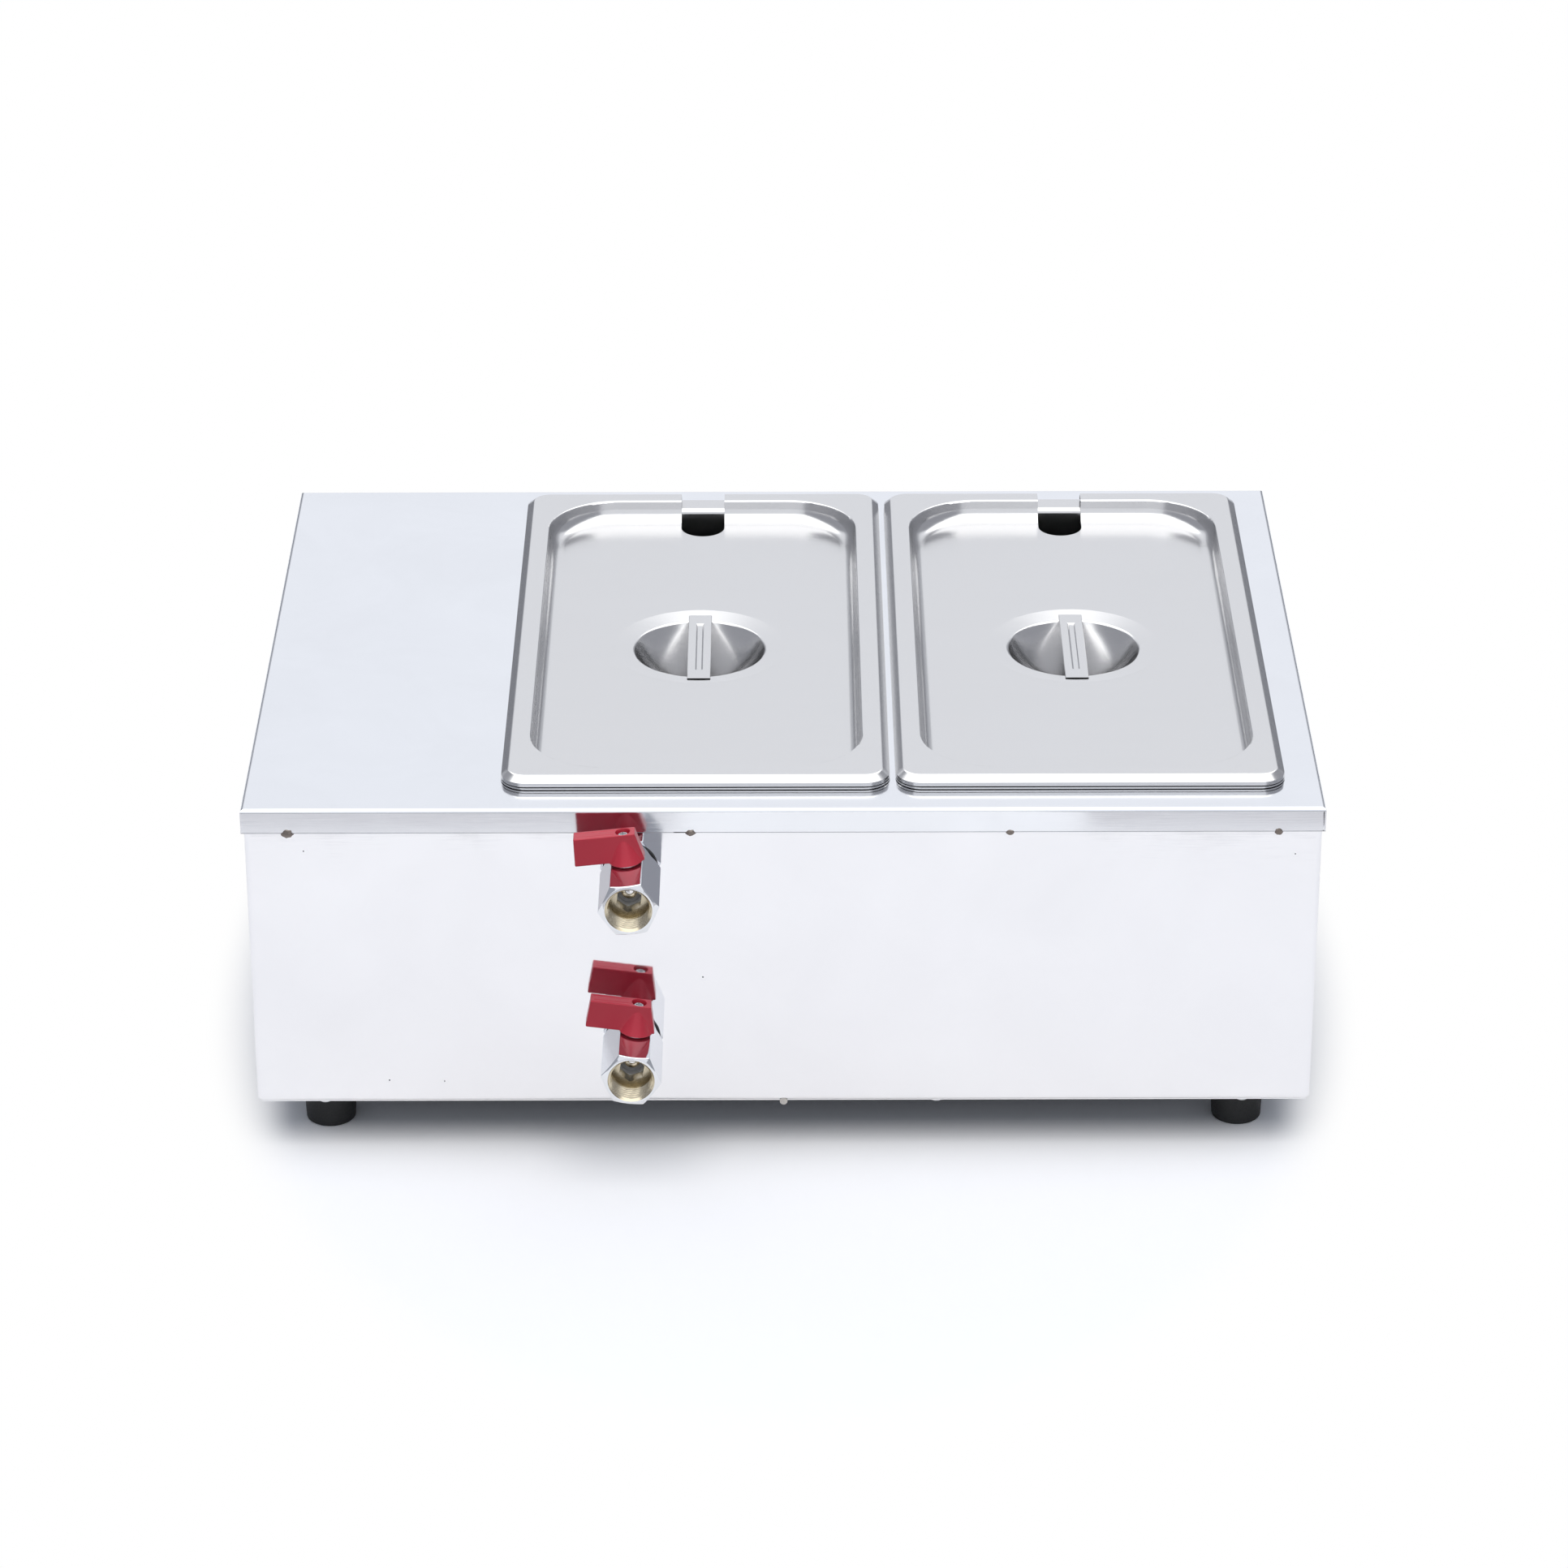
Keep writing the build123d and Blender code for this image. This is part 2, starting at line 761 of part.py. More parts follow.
def lid_rim_block(x, shrink):
    """The raised rim of a lid as a solid block with a sloped shoulder, its skin moved in by shrink."""
    width = pan_width - 2 * (lid_inset + shrink)
    length = pan_length - 2 * (lid_inset + shrink)
    corner = lid_corner - shrink
    rise = lid_top - lid_bottom
    slope = math.atan2(lid_chamfer, rise - lid_edge)
    edge = lid_edge - shrink * math.tan(slope / 2)
    upright = round_slab(width, length, corner, edge, x, pan_y, lid_bottom)
    height = rise - shrink - edge
    shoulder = round_slab(width, length, corner, height, x, pan_y, lid_bottom + edge, math.degrees(slope))
    shoulder = fillet(edges_at(shoulder, lid_top - shrink), rim_outer_radius - shrink)
    return upright + shoulder


def make_lid(x):
    """Stamped lid: raised rim, sloped recess, sunken ring, finger bowl and a ladle notch behind."""
    body = lid_rim_block(x, 0) + lid_tub(x, lid_sheet) + lid_dish(x, lid_sheet)
    under = lid_rim_block(x, lid_sheet) - lid_tub(x, lid_sheet)
    lid = body - under - lid_tub(x, 0) - lid_dish(x, 0)
    half_width = pan_width / 2 - lid_inset - lid_rim + rim_outer_radius
    half_length = pan_length / 2 - lid_inset - lid_rim + rim_outer_radius
    lid = fillet(edges_inside(lid, lid_top, x, half_width, half_length), rim_inner_radius)
    lip = [edge for edge in edges_at(lid, lid_top - recess_depth - ring_step) if is_round(edge, bowl_radius)]
    lid = fillet(lip, bowl_lip_radius)
    tip = pan_y + pan_length / 2 - lid_inset - notch_reach
    centre = tip + notch_width / 2
    low = lid_top - recess_depth - 2 * lid_sheet
    high = lid_top + lid_sheet
    half = notch_width / 2
    notch = block((x - half, x + half), (centre, pan_y + pan_length), (low, high))
    notch += rod(half, high - low, (x, centre, low), (0, 0, 1))
    return lid - notch


def make_strap(x):
    """Finger strap across the bowl, its ends let into the ring, with a pressed stiffening groove."""
    seat = lid_top - recess_depth - ring_step
    half = strap_length / 2
    top = seat + strap_sheet
    strap = block((x - strap_width / 2, x + strap_width / 2), (pan_y - half, pan_y + half), (seat, top))
    strap &= ring_cone(x, 0)
    rib_width = groove_width + 2 * (strap_sheet - groove_depth)
    rib_outline = SlotOverall(groove_length, rib_width, rotation=90)
    rib = Pos(x, pan_y, seat) * extrude(rib_outline, amount=-groove_depth)
    outline = SlotOverall(groove_length - groove_width, groove_width, rotation=90)
    groove = Pos(x, pan_y, top) * extrude(outline, amount=-groove_depth)
    return strap + rib - groove


# Drain valves, drawn about the stem axis with the outlet towards -Y


valve_front = stem_setout - valve_reach
hex_rear = stem_setout - gasket_thickness
spigot_end = stem_setout + sheet + spigot_reach
hex_corner_radius = hex_flats / 2 / math.cos(math.radians(30))
chamber_radius = thread_minor_radius - chamber_clearance
chamber_front = valve_front + thread_depth
seat_inner_radius = ball_bore + seat_ring_step
seat_front = chamber_front + retainer_length
seat_reach = -seat_front
flat_top = hex_flats / 2
neck_top = lever_top - screw_pocket_depth - neck_drop


def ahead(radius, start, end):
    """A bar along the valve axis."""
    return rod(radius, end - start, (0, start, 0), (0, 1, 0))


def make_valve_body():
    """Hexagonal body with a threaded outlet, a ball chamber and a male inlet."""
    length = hex_rear - valve_front
    bar = hex_bar(hex_flats, length, (0, valve_front, 0), (0, 1, 0))
    turned = ahead(hex_corner_radius, valve_front + hex_chamfer, hex_rear - hex_chamfer)
    end = (0, hex_rear - hex_chamfer, 0)
    front = (0, valve_front, 0)
    turned += taper_rod(hex_face_radius, hex_corner_radius, hex_chamfer, front, (0, 1, 0))
    turned += taper_rod(hex_corner_radius, hex_face_radius, hex_chamfer, end, (0, 1, 0))
    body = (bar & turned) + ahead(thread_pitch_radius, hex_rear - hex_chamfer, spigot_end)
    body -= taper_rod(thread_mouth_radius, thread_minor_radius, thread_mouth_depth, front, (0, 1, 0))
    body -= ahead(thread_minor_radius, valve_front, chamber_front)
    body -= ahead(chamber_radius, chamber_front, seat_reach)
    body -= ahead(spigot_bore, 0, spigot_end)
    body += rod(boss_radius, boss_height, (0, 0, flat_top), (0, 0, 1))
    body -= rod(stem_radius + joint_clearance, flat_top, (0, 0, 0), (0, 0, 1))
    pocket = packing_height + boss_height
    return body - rod(packing_radius, pocket, (0, 0, flat_top - packing_height), (0, 0, 1))


def make_retainer(turn):
    """Threaded ring with a hexagonal bore that holds the front seat."""
    ring = ahead(chamber_radius - joint_clearance, chamber_front, seat_front)
    return ring - hex_bar(socket_flats, retainer_length, (0, chamber_front, 0), (0, 1, 0), turn)


def make_seat(front):
    """Plastic seat ring that follows the ball."""
    start = seat_front if front else seat_reach - seat_depth
    ring = ahead(chamber_radius - joint_clearance, start, start + seat_depth)
    return ring - ahead(seat_inner_radius, start, start + seat_depth) - Sphere(ball_radius + ball_clearance)


def make_ball():
    """Drilled ball with a slot for the stem, shown closed."""
    ball = Sphere(ball_radius) - rod(ball_bore, 2 * ball_radius, (-ball_radius, 0, 0), (1, 0, 0))
    half = tang_thickness / 2 + joint_clearance
    return ball - block((-ball_radius, ball_radius), (-half, half), (ball_radius - tang_depth, ball_radius))


def make_stem():
    """Stem with a tang in the ball and flats in the lever."""
    low = ball_radius - tang_depth + joint_clearance
    shoulder = ball_radius + joint_clearance
    stem = rod(stem_radius, lever_bottom - shoulder, (0, 0, shoulder), (0, 0, 1))
    half = tang_thickness / 2
    tang = block((-stem_radius, stem_radius), (-half, half), (low, shoulder + tang_root))
    stem += tang & rod(stem_radius, flat_top, (0, 0, 0), (0, 0, 1))
    neck = rod(stem_neck_radius, neck_top - lever_bottom, (0, 0, lever_bottom), (0, 0, 1))
    half_flats = stem_flats / 2
    flats = (-half_flats, half_flats)
    stem += neck & block(flats, (-stem_neck_radius, stem_neck_radius), (lever_bottom, neck_top))
    depth = lever_screw_length
    return stem - rod(lever_screw_radius + joint_clearance, depth, (0, 0, neck_top), (0, 0, -1))


def make_packing():
    """Packing ring round the stem, flush with the flat."""
    ring = rod(packing_radius - joint_clearance, packing_height, (0, 0, flat_top - packing_height), (0, 0, 1))
    return ring - rod(stem_radius + joint_clearance, flat_top, (0, 0, 0), (0, 0, 1))


def make_lever():
    """Flag lever on a conical hub, with a sunk screw."""
    outline = Polygon(
        (-lever_left_bottom, lever_bottom + plate_lift),
        (-lever_left_top, lever_top),
        (lever_right_top, lever_top),
        (lever_right_bottom, lever_bottom + plate_lift),
        align=None,
    )
    plate = extrude(Plane.XZ * outline, amount=lever_thickness / 2, both=True)
    plate = fillet(plate.edges(), lever_edge_radius)
    hub = taper_rod(hub_radius, hub_top_radius, hub_top - lever_bottom, (0, 0, lever_bottom), (0, 0, 1))
    lever = plate + hub
    lever -= rod(screw_pocket_radius, screw_pocket_depth, (0, 0, lever_top), (0, 0, -1))
    depth = neck_top - lever_bottom + joint_clearance
    neck = rod(stem_neck_radius + joint_clearance, depth, (0, 0, lever_bottom), (0, 0, 1))
    half = stem_flats / 2 + joint_clearance
    lever -= neck & block((-half, half), (-hub_radius, hub_radius), (lever_bottom, lever_top))
    return lever - rod(lever_screw_radius + hole_clearance, lever_top - neck_top, (0, 0, neck_top), (0, 0, 1))


def make_lever_screw():
    """Cross-head screw that holds the lever on the stem."""
    head = (lever_screw_head_radius, lever_screw_head_height)
    screw = pan_screw(lever_screw_radius, *head, lever_screw_length)
    return Pos(0, 0, lever_top - screw_pocket_depth) * screw


def make_gasket():
    """Rubber gasket between a valve and the front wall."""
    ring = ahead(gasket_radius, hex_rear, stem_setout)
    return ring - ahead(thread_pitch_radius + hole_clearance, hex_rear, stem_setout)


def on_valve(shape, side):
    """Put a valve piece in its place on the front wall."""
    return Pos(valve_x, stem_y, valve_levels[side]) * Rot(0, valve_leans[side], 0) * shape


# Heater


def heater_legs():
    """The two levels along Y at which the heater runs."""
    return (pan_y - heater_span / 2, pan_y + heater_span / 2)


def make_heater():
    """Sheathed heater bent once, with a pin at each end."""
    near, far = heater_legs()
    start = tank_left - heater_tail
    bend = tank_right - heater_end_gap - heater_span / 2
    first = (start, near, heater_z)
    turn_in = (bend, near, heater_z)
    turn_out = (bend, far, heater_z)
    legs = [
        Line(first, turn_in),
        ThreePointArc(turn_in, (bend + heater_span / 2, pan_y, heater_z), turn_out),
        Line(turn_out, (start, far, heater_z)),
    ]
    heater = sweep(Plane(origin=first, z_dir=(1, 0, 0)) * Circle(heater_radius), path=Wire(legs))
    for y in (near, far):
        heater += rod(heater_pin_radius, heater_pin_length, (start, y, heater_z), (-1, 0, 0))
    return heater


def make_bushings():
    """Brass bushings brazed on the heater's ends, headed inside the tank."""
    head_start = tank_left + washer_thickness
    pieces = []
    for y in heater_legs():
        bushing = rod(bushing_head_radius, bushing_head, (head_start, y, heater_z), (1, 0, 0))
        bushing += rod(bushing_radius, bushing_length, (head_start, y, heater_z), (-1, 0, 0))
        bore = heater_radius + joint_clearance
        start = tank_left - heater_tail
        pieces.append(bushing - rod(bore, heater_span, (start, y, heater_z), (1, 0, 0)))
    return group(pieces)


def make_bushing_washers():
    """Silicone washers under the bushing heads."""
    bore = bushing_radius + joint_clearance
    return group(
        rod(washer_radius, washer_thickness, (tank_left, y, heater_z), (1, 0, 0))
        - rod(bore, washer_thickness, (tank_left, y, heater_z), (1, 0, 0))
        for y in heater_legs()
    )


def make_bushing_nuts():
    """Nuts on the bushings, outside the tank."""
    bore = bushing_radius + joint_clearance
    nut = make_nut(bushing_nut_flats, bushing_nut_height, bore, (0, 0, 0), (-1, 0, 0))
    return group(Pos(tank_left - tank_sheet, y, heater_z) * nut for y in heater_legs())


# Thermostat


thermostat_front = rear_inner - thermostat_bracket - thermostat_depth
thermostat_y = rear_inner - thermostat_bracket - thermostat_depth / 2
spindle_start = rear_inner - thermostat_bracket - spindle_sink
spindle_end = rear_face + knob_reach - spindle_short


def tab(place, axis):
    """A flat push-on terminal that stands out along axis."""
    x, y, z = place
    shape = Box(tab_thickness, tab_width, tab_length, align=from_end)
    return Plane(origin=(x, y, z), x_dir=level_x(axis), z_dir=axis) * shape


def thermostat_tab_places():
    """Places of the two terminals on the thermostat's inner face."""
    return [(control_x + x, thermostat_front, knob_z) for x in spaced(2, thermostat_width / 2)]


def make_thermostat():
    """Thermostat body with its bracket, bush and terminals."""
    half_x = thermostat_width / 2
    half_z = thermostat_height / 2
    body = block(
        (control_x - half_x, control_x + half_x),
        (thermostat_front, rear_inner - thermostat_bracket),
        (knob_z - half_z, knob_z + half_z),
    )
    body = fillet(body.edges().filter_by(Axis.Y), thermostat_corner)
    half_plate = thermostat_bracket_width / 2
    body += block(
        (control_x - half_plate, control_x + half_plate),
        (rear_inner - thermostat_bracket, rear_inner),
        (knob_z - half_z / 2, knob_z + half_z / 2),
    )
    body += rod(spindle_bush_radius, sheet, (control_x, rear_inner, knob_z), (0, 1, 0))
    for place in thermostat_tab_places():
        body += tab(place, (0, -1, 0))
    bore = spindle_radius + joint_clearance
    body -= rod(bore, thermostat_depth, (control_x, spindle_start, knob_z), (0, 1, 0))
    half_pitch = thermostat_screw_pitch / 2
    for x in (control_x - half_pitch, control_x + half_pitch):
        bore = thermostat_screw_radius + joint_clearance
        body -= rod(bore, thermostat_screw_length, (x, rear_face, knob_z), (0, -1, 0))
    return body


def make_thermostat_screws():
    """Screws that hold the thermostat, hidden under the knob."""
    screw = Rot(-90, 0, 0) * pan_screw(
        thermostat_screw_radius, thermostat_screw_head_radius, thermostat_screw_head, thermostat_screw_length
    )
    half_pitch = thermostat_screw_pitch / 2
    return group(Pos(x, rear_face, knob_z) * screw for x in (control_x - half_pitch, control_x + half_pitch))


def spindle_shape(radius, start, end):
    """A D-shaped bar along the knob's axis."""
    bar = rod(radius, end - start, (control_x, start, knob_z), (0, 1, 0))
    flat_z = knob_z + spindle_flat + (radius - spindle_radius)
    flat = block(
        (control_x - 2 * radius, control_x + 2 * radius),
        (rear_face + knob_gap, rear_face + 2 * knob_reach),
        (flat_z, knob_z + 2 * radius),
    )
    return bar - flat


def make_knob():
    """Skirted knob with a grip bar, hollow behind and bored for the spindle."""
    start = rear_face + knob_gap
    skirt = rod(knob_skirt_radius, knob_skirt_height, (control_x, start, knob_z), (0, 1, 0))
    skirt = fillet(edges_at(skirt, start + knob_skirt_height, Axis.Y), knob_edge)
    half_x = knob_grip_width / 2
    half_z = knob_grip_length / 2
    end = rear_face + knob_reach
    grip = block(
        (control_x - half_x, control_x + half_x), (start + knob_edge, end), (knob_z - half_z, knob_z + half_z)
    )
    grip = fillet(grip.edges().filter_by(Axis.Y) + edges_at(grip, end, Axis.Y), knob_edge)
    knob = skirt + grip
    hollow = rod(knob_recess_radius, knob_recess_depth, (control_x, start, knob_z), (0, 1, 0))
    hollow -= rod(knob_hub_radius, knob_recess_depth, (control_x, start, knob_z), (0, 1, 0))
    socket = spindle_shape(spindle_radius + joint_clearance, start, spindle_end + joint_clearance)
    return knob - hollow - socket


def bulb_start():
    """The end of the bulb that the capillary leaves."""
    return (tank_left + bulb_inset, bulb_y, bulb_z)


def make_bulb():
    """Bulb in the water and the capillary that leads from it to the thermostat."""
    start = bulb_start()
    bulb = rod(bulb_radius, bulb_length, start, (1, 0, 0))
    end = (control_x + capillary_offset, thermostat_y, knob_z - thermostat_height / 2)
    leave = (-bulb_inset - capillary_lead, 0, 0)
    arrive = (0, 0, -capillary_lead)
    return bulb + run(start, leave, [(0.39, -8.0, -5.3, -3.5)], arrive, end, capillary_radius)


def make_bulb_gland():
    """Brass gland where the capillary leaves the tank, with its nut inside."""
    outside = tank_left - tank_sheet
    body = hex_bar(gland_nut_flats, gland_nut_height, (outside, bulb_y, bulb_z), (-1, 0, 0))
    stub = gland_nut_height + 2 * tank_sheet
    body += rod(gland_stub_radius, stub, (outside, bulb_y, bulb_z), (1, 0, 0))
    far = outside - gland_nut_height
    body -= rod(capillary_radius + joint_clearance, gland_nut_height + stub, (far, bulb_y, bulb_z), (1, 0, 0))
    nut_bore = gland_stub_radius + joint_clearance
    nut = make_nut(gland_nut_flats, gland_nut_height, nut_bore, (tank_left, bulb_y, bulb_z), (1, 0, 0))
    return group([body, nut])


def make_bulb_bracket():
    """Folded bracket on the tank floor that carries the bulb."""
    x = bulb_start()[0] + bulb_length / 2
    y_range = (bulb_y - bracket_width / 2, bulb_y + bracket_width / 2)
    web = block((x, x + bracket_sheet), y_range, (tank_floor, bulb_z + 2 * bulb_radius))
    foot = block((x, x + bracket_width), y_range, (tank_floor, tank_floor + bracket_sheet))
    hole = rod(bulb_radius + joint_clearance, bracket_width, (x - bracket_sheet, bulb_y, bulb_z), (1, 0, 0))
    return web + foot - hole


# Switch, lamp and gland on the rear panel


rocker_y = rear_face + rocker_setout


def make_switch():
    """Switch housing with a bezel outside and four terminals inside."""
    half_x = switch_bezel_width / 2
    half_z = switch_bezel_height / 2
    front = rear_face + switch_bezel
    z_range = (switch_z - half_z, switch_z + half_z)
    bezel = block((switch_x - half_x, switch_x + half_x), (rear_face, front), z_range)
    bezel = fillet(edges_at(bezel, front, Axis.Y), bezel_edge)
    body_x = switch_body_width / 2
    body_z = switch_body_height / 2
    back = rear_face - switch_body_depth
    z_range = (switch_z - body_z, switch_z + body_z)
    housing = bezel + block((switch_x - body_x, switch_x + body_x), (back, rear_face), z_range)
    for place in switch_tab_places():
        housing += tab(place, (0, -1, 0))
    inside = body_x - switch_wall
    reach = rocker_radius + rocker_clearance
    y_range = (rocker_y - rocker_well, front + switch_bezel)
    housing -= block((switch_x - inside, switch_x + inside), y_range, (switch_z - reach, switch_z + reach))
    pin = rocker_pin_radius + joint_clearance
    length = 2 * (inside + rocker_pin_length)
    return housing - rod(pin, length, (switch_x - length / 2, rocker_y, switch_z), (1, 0, 0))


def switch_tab_places():
    """Places of the terminals on the back of the switch."""
    back = rear_face - switch_body_depth
    columns = spaced(2, switch_body_width / 2)
    rows = spaced(2, switch_body_height / 2)
    return [(switch_x + x, back, switch_z + z) for x in columns for z in rows]


def make_rocker():
    """Rocker with a shallow ridge, tilted to its off position."""
    half = switch_body_width / 2 - switch_wall - rocker_clearance
    far = 2 * rocker_radius
    drum = rod(rocker_radius, 2 * half, (-half, 0, 0), (1, 0, 0))
    drum -= block((-2 * half, 2 * half), (-far, -rocker_sink), (-far, far))
    low = rocker_proud - math.tan(math.radians(rocker_tilt)) * far
    above = Polygon((rocker_proud, 0), (low, far), (far, far), (far, -far), (low, -far), align=None)
    drum -= extrude(Plane.YZ.offset(-2 * half) * above, amount=4 * half)
    pin_half = half + rocker_clearance + rocker_pin_length - joint_clearance
    drum += rod(rocker_pin_radius, 2 * pin_half, (-pin_half, 0, 0), (1, 0, 0))
    return Pos(switch_x, rocker_y, switch_z) * Rot(-rocker_tilt, 0, 0) * drum


def make_lamp_body():
    """Lamp holder with a round bezel."""
    body = rod(lamp_bezel_radius, lamp_bezel, (lamp_x, rear_face, switch_z), (0, 1, 0))
    body = fillet(edges_at(body, rear_face + lamp_bezel, Axis.Y), bezel_edge)
    return body + rod(lamp_body_radius, lamp_body_depth, (lamp_x, rear_face, switch_z), (0, -1, 0))


def make_lamp_lens():
    """Domed lens on the lamp holder."""
    top = rear_face + lamp_bezel + lamp_lens_height
    lens = rod(lamp_lens_radius, lamp_lens_height, (lamp_x, rear_face + lamp_bezel, switch_z), (0, 1, 0))
    return fillet(edges_at(lens, top, Axis.Y), lamp_lens_edge)


def make_gland():
    """Cable gland body through the rear panel."""
    gland = hex_bar(gland_hex_flats, gland_hex, (control_x, rear_face, gland_z), (0, 1, 0))
    inner = gland_inner + sheet
    gland += rod(gland_thread_radius, inner, (control_x, rear_face, gland_z), (0, -1, 0))
    gland += rod(gland_collar_radius, gland_collar_length, (control_x, rear_face, gland_z), (0, 1, 0))
    length = inner + gland_collar_length
    return gland - rod(gland_bore_radius, length, (control_x, rear_face - inner, gland_z), (0, 1, 0))


def make_gland_cap():
    """Domed cap nut on the gland."""
    start = rear_face + gland_cap_start
    end = start + gland_cap_length
    cap = hex_bar(gland_cap_flats, gland_cap_length, (control_x, start, gland_z), (0, 1, 0))
    dome = rod(gland_cap_radius, gland_cap_length, (control_x, start, gland_z), (0, 1, 0))
    cap &= fillet(edges_at(dome, end, Axis.Y), gland_cap_dome)
    inside = gland_collar_radius + joint_clearance
    cap -= rod(inside, gland_collar_length - gland_cap_start, (control_x, start, gland_z), (0, 1, 0))
    return cap - rod(gland_bore_radius, gland_cap_length, (control_x, start, gland_z), (0, 1, 0))


def make_gland_nut():
    """Locknut inside the rear panel."""
    bore = gland_thread_radius + joint_clearance
    return make_nut(gland_hex_flats, gland_nut_thickness, bore, (control_x, rear_inner, gland_z), (0, -1, 0))


# Terminals on the base plate


def pole_places():
    """Centres of the poles along the terminal block."""
    return [block_x + offset for offset in spaced(block_poles, block_length - block_pitch)]


def make_terminal_block():
    """Terminal block with a way through and two screw wells in each pole."""
    half_x = block_length / 2
    half_y = block_width / 2
    y_range = (block_y - half_y, block_y + half_y)
    body = block((block_x - half_x, block_x + half_x), y_range, (base_top, base_top + block_height))
    body = fillet(body.edges().filter_by(Axis.Z), block_corner)
    way_z = base_top + block_way_rise
    for x in pole_places():
        body -= rod(terminal_tube_radius, block_width, (x, block_y - half_y, way_z), (0, 1, 0))
        for y in spaced(2, block_width / 2):
            well = terminal_screw_radius + joint_clearance
            body -= rod(well, block_height, (x, block_y + y, way_z), (0, 0, 1))
    return body


def make_terminal_screws():
    """Clamping screws in the terminal block."""
    length = terminal_screw_length
    start = base_top + terminal_screw_rise
    pieces = []
    for x in pole_places():
        for y in spaced(2, block_width / 2):
            screw = rod(terminal_screw_radius, length, (x, block_y + y, start), (0, 0, 1))
            slot = Box(2 * terminal_screw_radius, cross_width, 2 * cross_width)
            pieces.append(screw - Pos(x, block_y + y, start + length) * slot)
    return group(pieces)


def make_earth_stud():
    """Weld stud on the base plate."""
    return rod(earth_stud_radius, earth_stud_height, (earth_x, earth_y, base_top), (0, 0, 1))


def earth_nut_levels():
    """Undersides of the two nuts on the earth stud, with a ring terminal between them."""
    first = base_top
    return (first, first + small_nut_height + ring_terminal_height)


def make_earth_nuts():
    """Nuts on the earth stud."""
    bore = earth_stud_radius + joint_clearance
    return group(
        make_nut(small_nut_flats, small_nut_height, bore, (earth_x, earth_y, z), (0, 0, 1))
        for z in earth_nut_levels()
    )


# Wires, all inside the casing: how they bow between their two ends is chosen by eye


def tab_end(place):
    """The free end of a push-on terminal that points towards the front."""
    x, y, z = place
    return (x, y - tab_length, z)


def tab_side(place):
    """The right-hand face of such a terminal, where a thin second wire joins it."""
    x, y, z = place
    return (x + tab_thickness / 2, y - tab_length / 2, z)


def pole_end(pole):
    """The mouth of one pole of the terminal block, on its rear side."""
    return (pole_places()[pole], block_y + block_width / 2, base_top + block_way_rise)


def pin_end(leg):
    """The tip of one of the heater's pins."""
    return (tank_left - heater_tail - heater_pin_length, heater_legs()[leg], heater_z)


def lamp_end(side):
    """Where a thin wire meets the back of the pilot lamp."""
    return (lamp_x + side * lamp_wire_spread, rear_face - lamp_body_depth, switch_z)


rearward = (0, wire_lead, 0)
frontward = (0, -wire_lead, 0)
rightward = (wire_lead, 0, 0)
leftward = (-wire_lead, 0, 0)


def make_live_wires():
    """Block to switch, switch to thermostat, thermostat to heater, and thermostat to lamp."""
    low_in, high_out, _, _ = switch_tab_places()
    to_control, from_control = thermostat_tab_places()
    supply_bows = [(0.35, -1.0, 2.0, -1.5), (0.68, -0.5, 1.0, 0.0)]
    supply = run(pole_end(0), rearward, supply_bows, frontward, tab_end(low_in))
    control_bows = [(0.3, -2.5, -6.0, 0.0), (0.7, 0.0, -6.0, -1.0)]
    control = run(tab_end(high_out), frontward, control_bows, frontward, tab_end(to_control))
    load_bows = [(0.33, -5.0, -3.0, 2.0), (0.7, -8.5, -2.0, 1.0)]
    load = run(tab_end(from_control), frontward, load_bows, leftward, pin_end(1))
    lamp_bows = [(0.3, 5.0, -3.0, 1.0), (0.65, 4.5, -4.5, 1.0)]
    lamp = run(tab_side(from_control), rightward, lamp_bows, frontward, lamp_end(1), lamp_wire_radius)
    return group([supply, control, load, lamp])


def make_neutral_wires():
    """Block to switch, switch to heater, and switch to lamp."""
    _, _, low_in, high_out = switch_tab_places()
    supply_bows = [(0.35, -1.0, 2.0, -1.5), (0.68, -0.5, 1.0, 0.0)]
    supply = run(pole_end(1), rearward, supply_bows, frontward, tab_end(low_in))
    load_bows = [(0.15, -4.0, -2.0, -1.0), (0.38, -10.0, -3.0, -2.0)]
    load_bows += [(0.62, -12.0, -3.0, -2.0), (0.84, -9.0, -3.0, -1.0)]
    load = run(tab_end(high_out), frontward, load_bows, leftward, pin_end(0))
    lamp_bows = [(0.3, 2.0, -3.0, 10.0), (0.7, 2.0, -5.0, 10.0)]
    lamp = run(tab_side(high_out), rightward, lamp_bows, frontward, lamp_end(-1), lamp_wire_radius)
    return group([supply, load, lamp])


def make_earth_wire():
    """Block to earth stud, with a ring terminal between the stud's nuts."""
    level = earth_nut_levels()[0] + small_nut_height
    place = (earth_x, earth_y, level)
    end = (earth_x - earth_stud_radius - wire_radius, earth_y, level + ring_terminal_height / 2)
    wire = run(pole_end(2), rearward, [(0.5, -2.5, 3.0, 0.0)], leftward, end)
    ring = rod(small_nut_flats / 2, ring_terminal_height, place, (0, 0, 1))
    return wire + ring - rod(earth_stud_radius + joint_clearance, ring_terminal_height, place, (0, 0, 1))


# Assembly


housing = make_housing()
base_plate = make_base_plate()
cover = make_cover()

